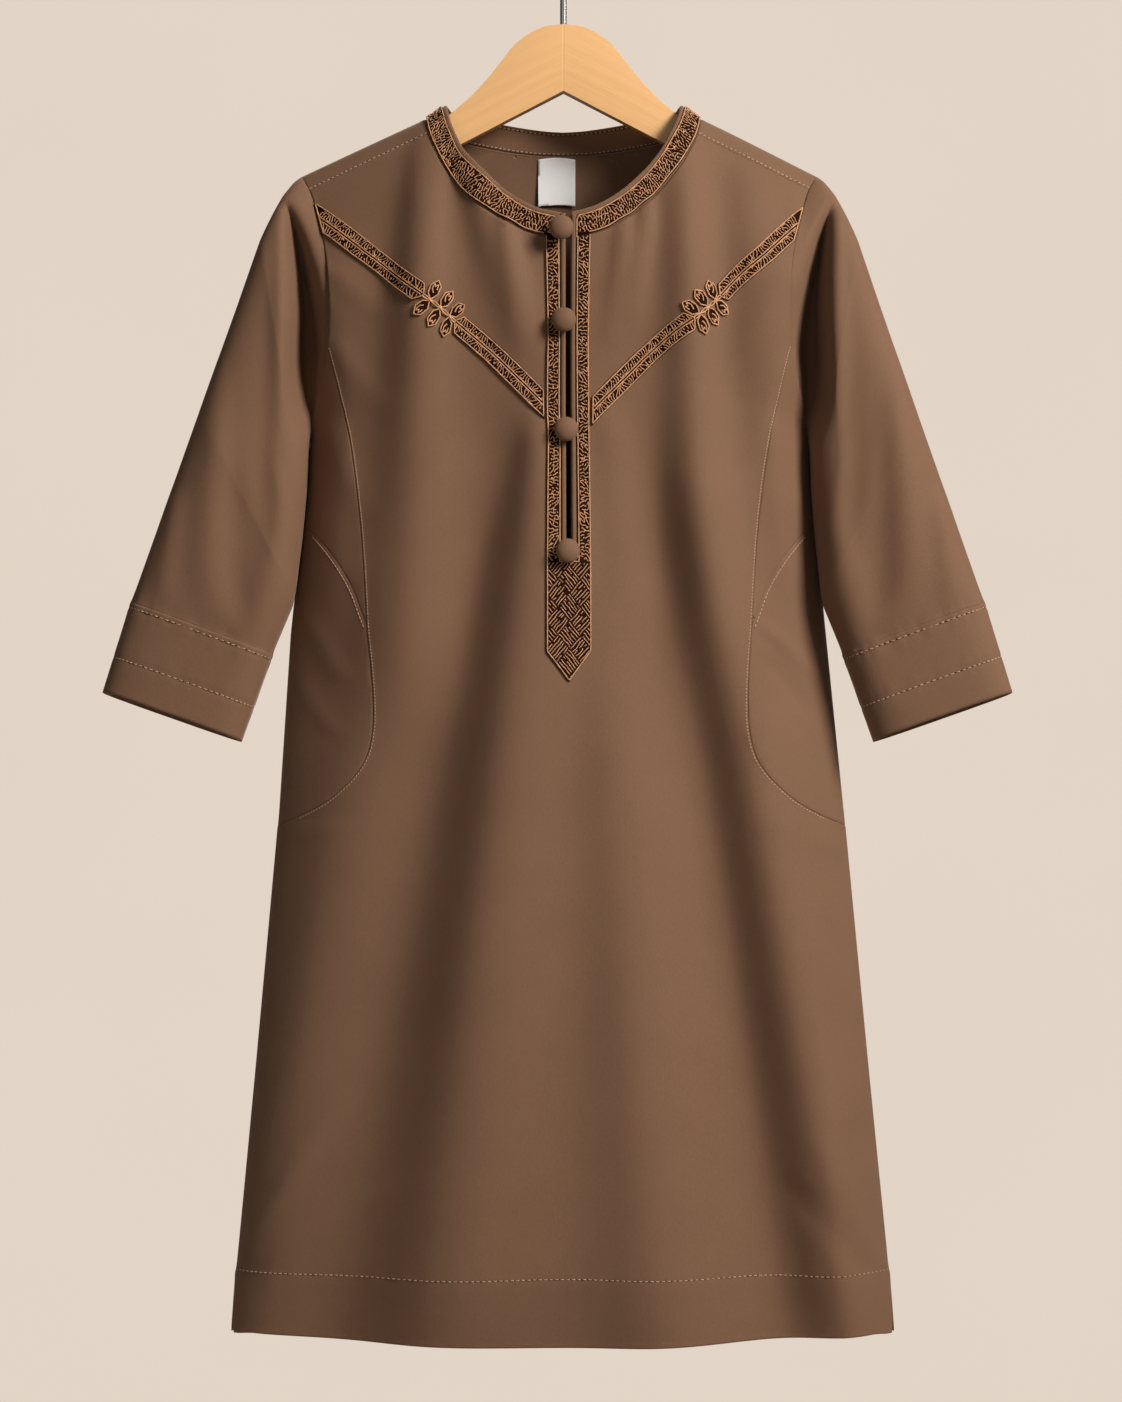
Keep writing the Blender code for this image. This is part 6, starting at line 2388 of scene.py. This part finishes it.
@dataclass
class Hook(Work):
    """The wire hook."""

    wire: float = 0.0017
    steps: int = 8
    radius: float = 0.0180
    foot_z: float = -0.0800
    neck_z: float = -0.0460
    pull: float = 0.0065
    start: float = math.radians(-58)
    end: float = math.radians(196)
    cap: Sequence[Row] = (  # distance past the free end, and the size there
        (0.0009, 0.85), (0.0015, 0.50), (0.0017, 0.12),
    )

    def build(self) -> None:
        """Bends the wire and fits its free end with a rounded cap."""
        centre_z = self.wire - self.radius
        begin = np.array([math.cos(self.start), math.sin(self.start)]) * self.radius
        begin[1] += centre_z
        heading = np.array([-math.sin(self.start), math.cos(self.start)])
        neck = np.array([0.0, self.neck_z])
        pulls = (neck, neck + np.array([0, self.pull]), begin - heading * self.pull, begin)
        t = np.linspace(0, 1, 16)[1:-1, None]
        weights = ((1 - t) ** 3, 3 * t * (1 - t) ** 2, 3 * t * t * (1 - t), t**3)
        bend = sum(weight * point for weight, point in zip(weights, pulls))
        angle = np.linspace(self.start, self.end, 64)
        arc = np.column_stack([np.cos(angle), np.sin(angle)]) * self.radius
        arc += np.array([0, centre_z])
        shank = np.column_stack([np.zeros(12), np.linspace(self.foot_z, self.neck_z, 12)])
        line = np.vstack([shank, bend, arc])
        past, shrink = np.array(self.cap).T
        heading = np.array([-math.sin(self.end), math.cos(self.end)])
        full = np.vstack([line, line[-1] + heading * past[:, None]])
        sizes = np.concatenate([np.ones(len(line)), shrink])
        points = np.column_stack([full[:, 0], np.zeros(len(full)), full[:, 1]])
        shop, steel = self.shop, self.shop.finishes.steel
        made = shop.wire("hanger_hook_wire", [(points, sizes)], self.wire, steel, self.steps)
        shop.own(made, "wire", "hanger_hook")


# --- the studio ---


@dataclass
class Studio:
    """Camera, light, floor and backdrop."""

    eye: Row = (-0.00125, -2.2, -0.4035)
    lens: float = 112.98
    floor_z: float = -1.10
    floor_radius: float = 1.9
    floor_colour: Row = (0.80, 0.74, 0.68)
    backdrop_radius: float = 9.0
    backdrop_colour: Row = (0.775, 0.672, 0.575)
    world_colour: Row = (1.0, 0.965, 0.92)
    world_strength: float = 0.10
    aim: Row = (0.0, 0.0, -0.33)
    lamps: Sequence[tuple] = (  # name, place, size, power, colour, spread
        ("key_box", (1.566, -1.361, 0.87), 0.8, 7.8, (1.0, 0.955, 0.90), math.radians(55)),
        ("fill_box", (-0.9, -2.4, 0.3), 1.8, 5.0, (1.0, 0.96, 0.92), math.pi),
        ("back_box", (0.3, 1.9, 0.9), 1.6, 22.0, (1.0, 0.97, 0.94), math.pi),
    )

    def lamp(
        self, name: str, place: Row, size: float, power: float, colour: Row, spread: float
    ) -> None:
        """Hangs a square soft box that points at the robe.

        Args:
            name: its name.
            place: where it hangs.
            size: the length of its side.
            power: its power.
            colour: its colour.
            spread: the cone's angle.
        """
        light = bpy.data.lights.new(name, "AREA")
        light.shape, light.spread = "SQUARE", spread
        light.size, light.energy, light.color = size, power, colour
        lamp = bpy.data.objects.new(name, light)
        lamp.location = place
        ray = Vector(self.aim) - Vector(place)
        lamp.rotation_euler = ray.to_track_quat("-Z", "Y").to_euler()
        bpy.context.scene.collection.objects.link(lamp)

    def build(self) -> None:
        """Sets up the studio."""
        scene = bpy.context.scene
        scene.view_settings.view_transform = "Standard"
        camera = bpy.data.cameras.new("camera")
        camera.sensor_fit, camera.sensor_height, camera.lens = "VERTICAL", 36.0, self.lens
        camera.clip_end = 50.0
        stand = bpy.data.objects.new("camera", camera)
        stand.location = self.eye
        stand.rotation_euler = (math.pi / 2, 0.0, 0.0)
        scene.collection.objects.link(stand)
        scene.camera = stand
        for row in self.lamps:
            self.lamp(*row)
        world = bpy.data.worlds.new("studio")
        world.use_nodes = True
        glow = world.node_tree.nodes["Background"]
        glow.inputs["Color"].default_value = (*self.world_colour, 1.0)
        glow.inputs["Strength"].default_value = self.world_strength
        scene.world = world
        floor = bmesh.new()
        bmesh.ops.create_circle(floor, cap_ends=True, segments=96, radius=self.floor_radius)
        bmesh.ops.translate(floor, verts=floor.verts, vec=(0, 0, self.floor_z))
        self.staged("floor", floor, StudioPaper("floor_paper", self.floor_colour))
        sweep = bmesh.new()
        bmesh.ops.create_uvsphere(sweep, u_segments=64, v_segments=32, radius=self.backdrop_radius)
        bmesh.ops.reverse_faces(sweep, faces=sweep.faces)
        paper = StudioPaper("backdrop_paper", self.backdrop_colour, glow=1.0)
        drop = self.staged("backdrop", sweep, paper)
        for ray in ("diffuse", "glossy", "transmission", "volume_scatter", "shadow"):
            setattr(drop, f"visible_{ray}", False)

    def staged(self, name: str, shape: Shape, paper: StudioPaper) -> Piece:
        """Makes an object of a bmesh for the studio."""
        made = from_shape(name, shape, paper.make())
        return made


def main() -> None:
    """Builds the robe, the hanger and the studio."""
    logging.basicConfig(level=logging.INFO, format="%(name)s %(message)s")
    Studio().build()
    shop, opening = Workshop(Finishes(), RobeForm()), Opening()
    Hanger(shop).build()
    Hook(shop).build()
    panels = BodyPanels(shop, opening)
    panels.build()
    neck = NeckBand(shop, opening)
    on_front = neck.build()
    on_front += Placket(shop, opening, neck).build()
    on_front += ChestBands(shop, opening).build()
    Buttons(shop).build()
    Label(shop).build()
    for side in Side:
        made = Sleeve(Workshop(shop.finishes, SleeveForm(shop.form, side))).build()


if __name__ == "__main__":
    main()
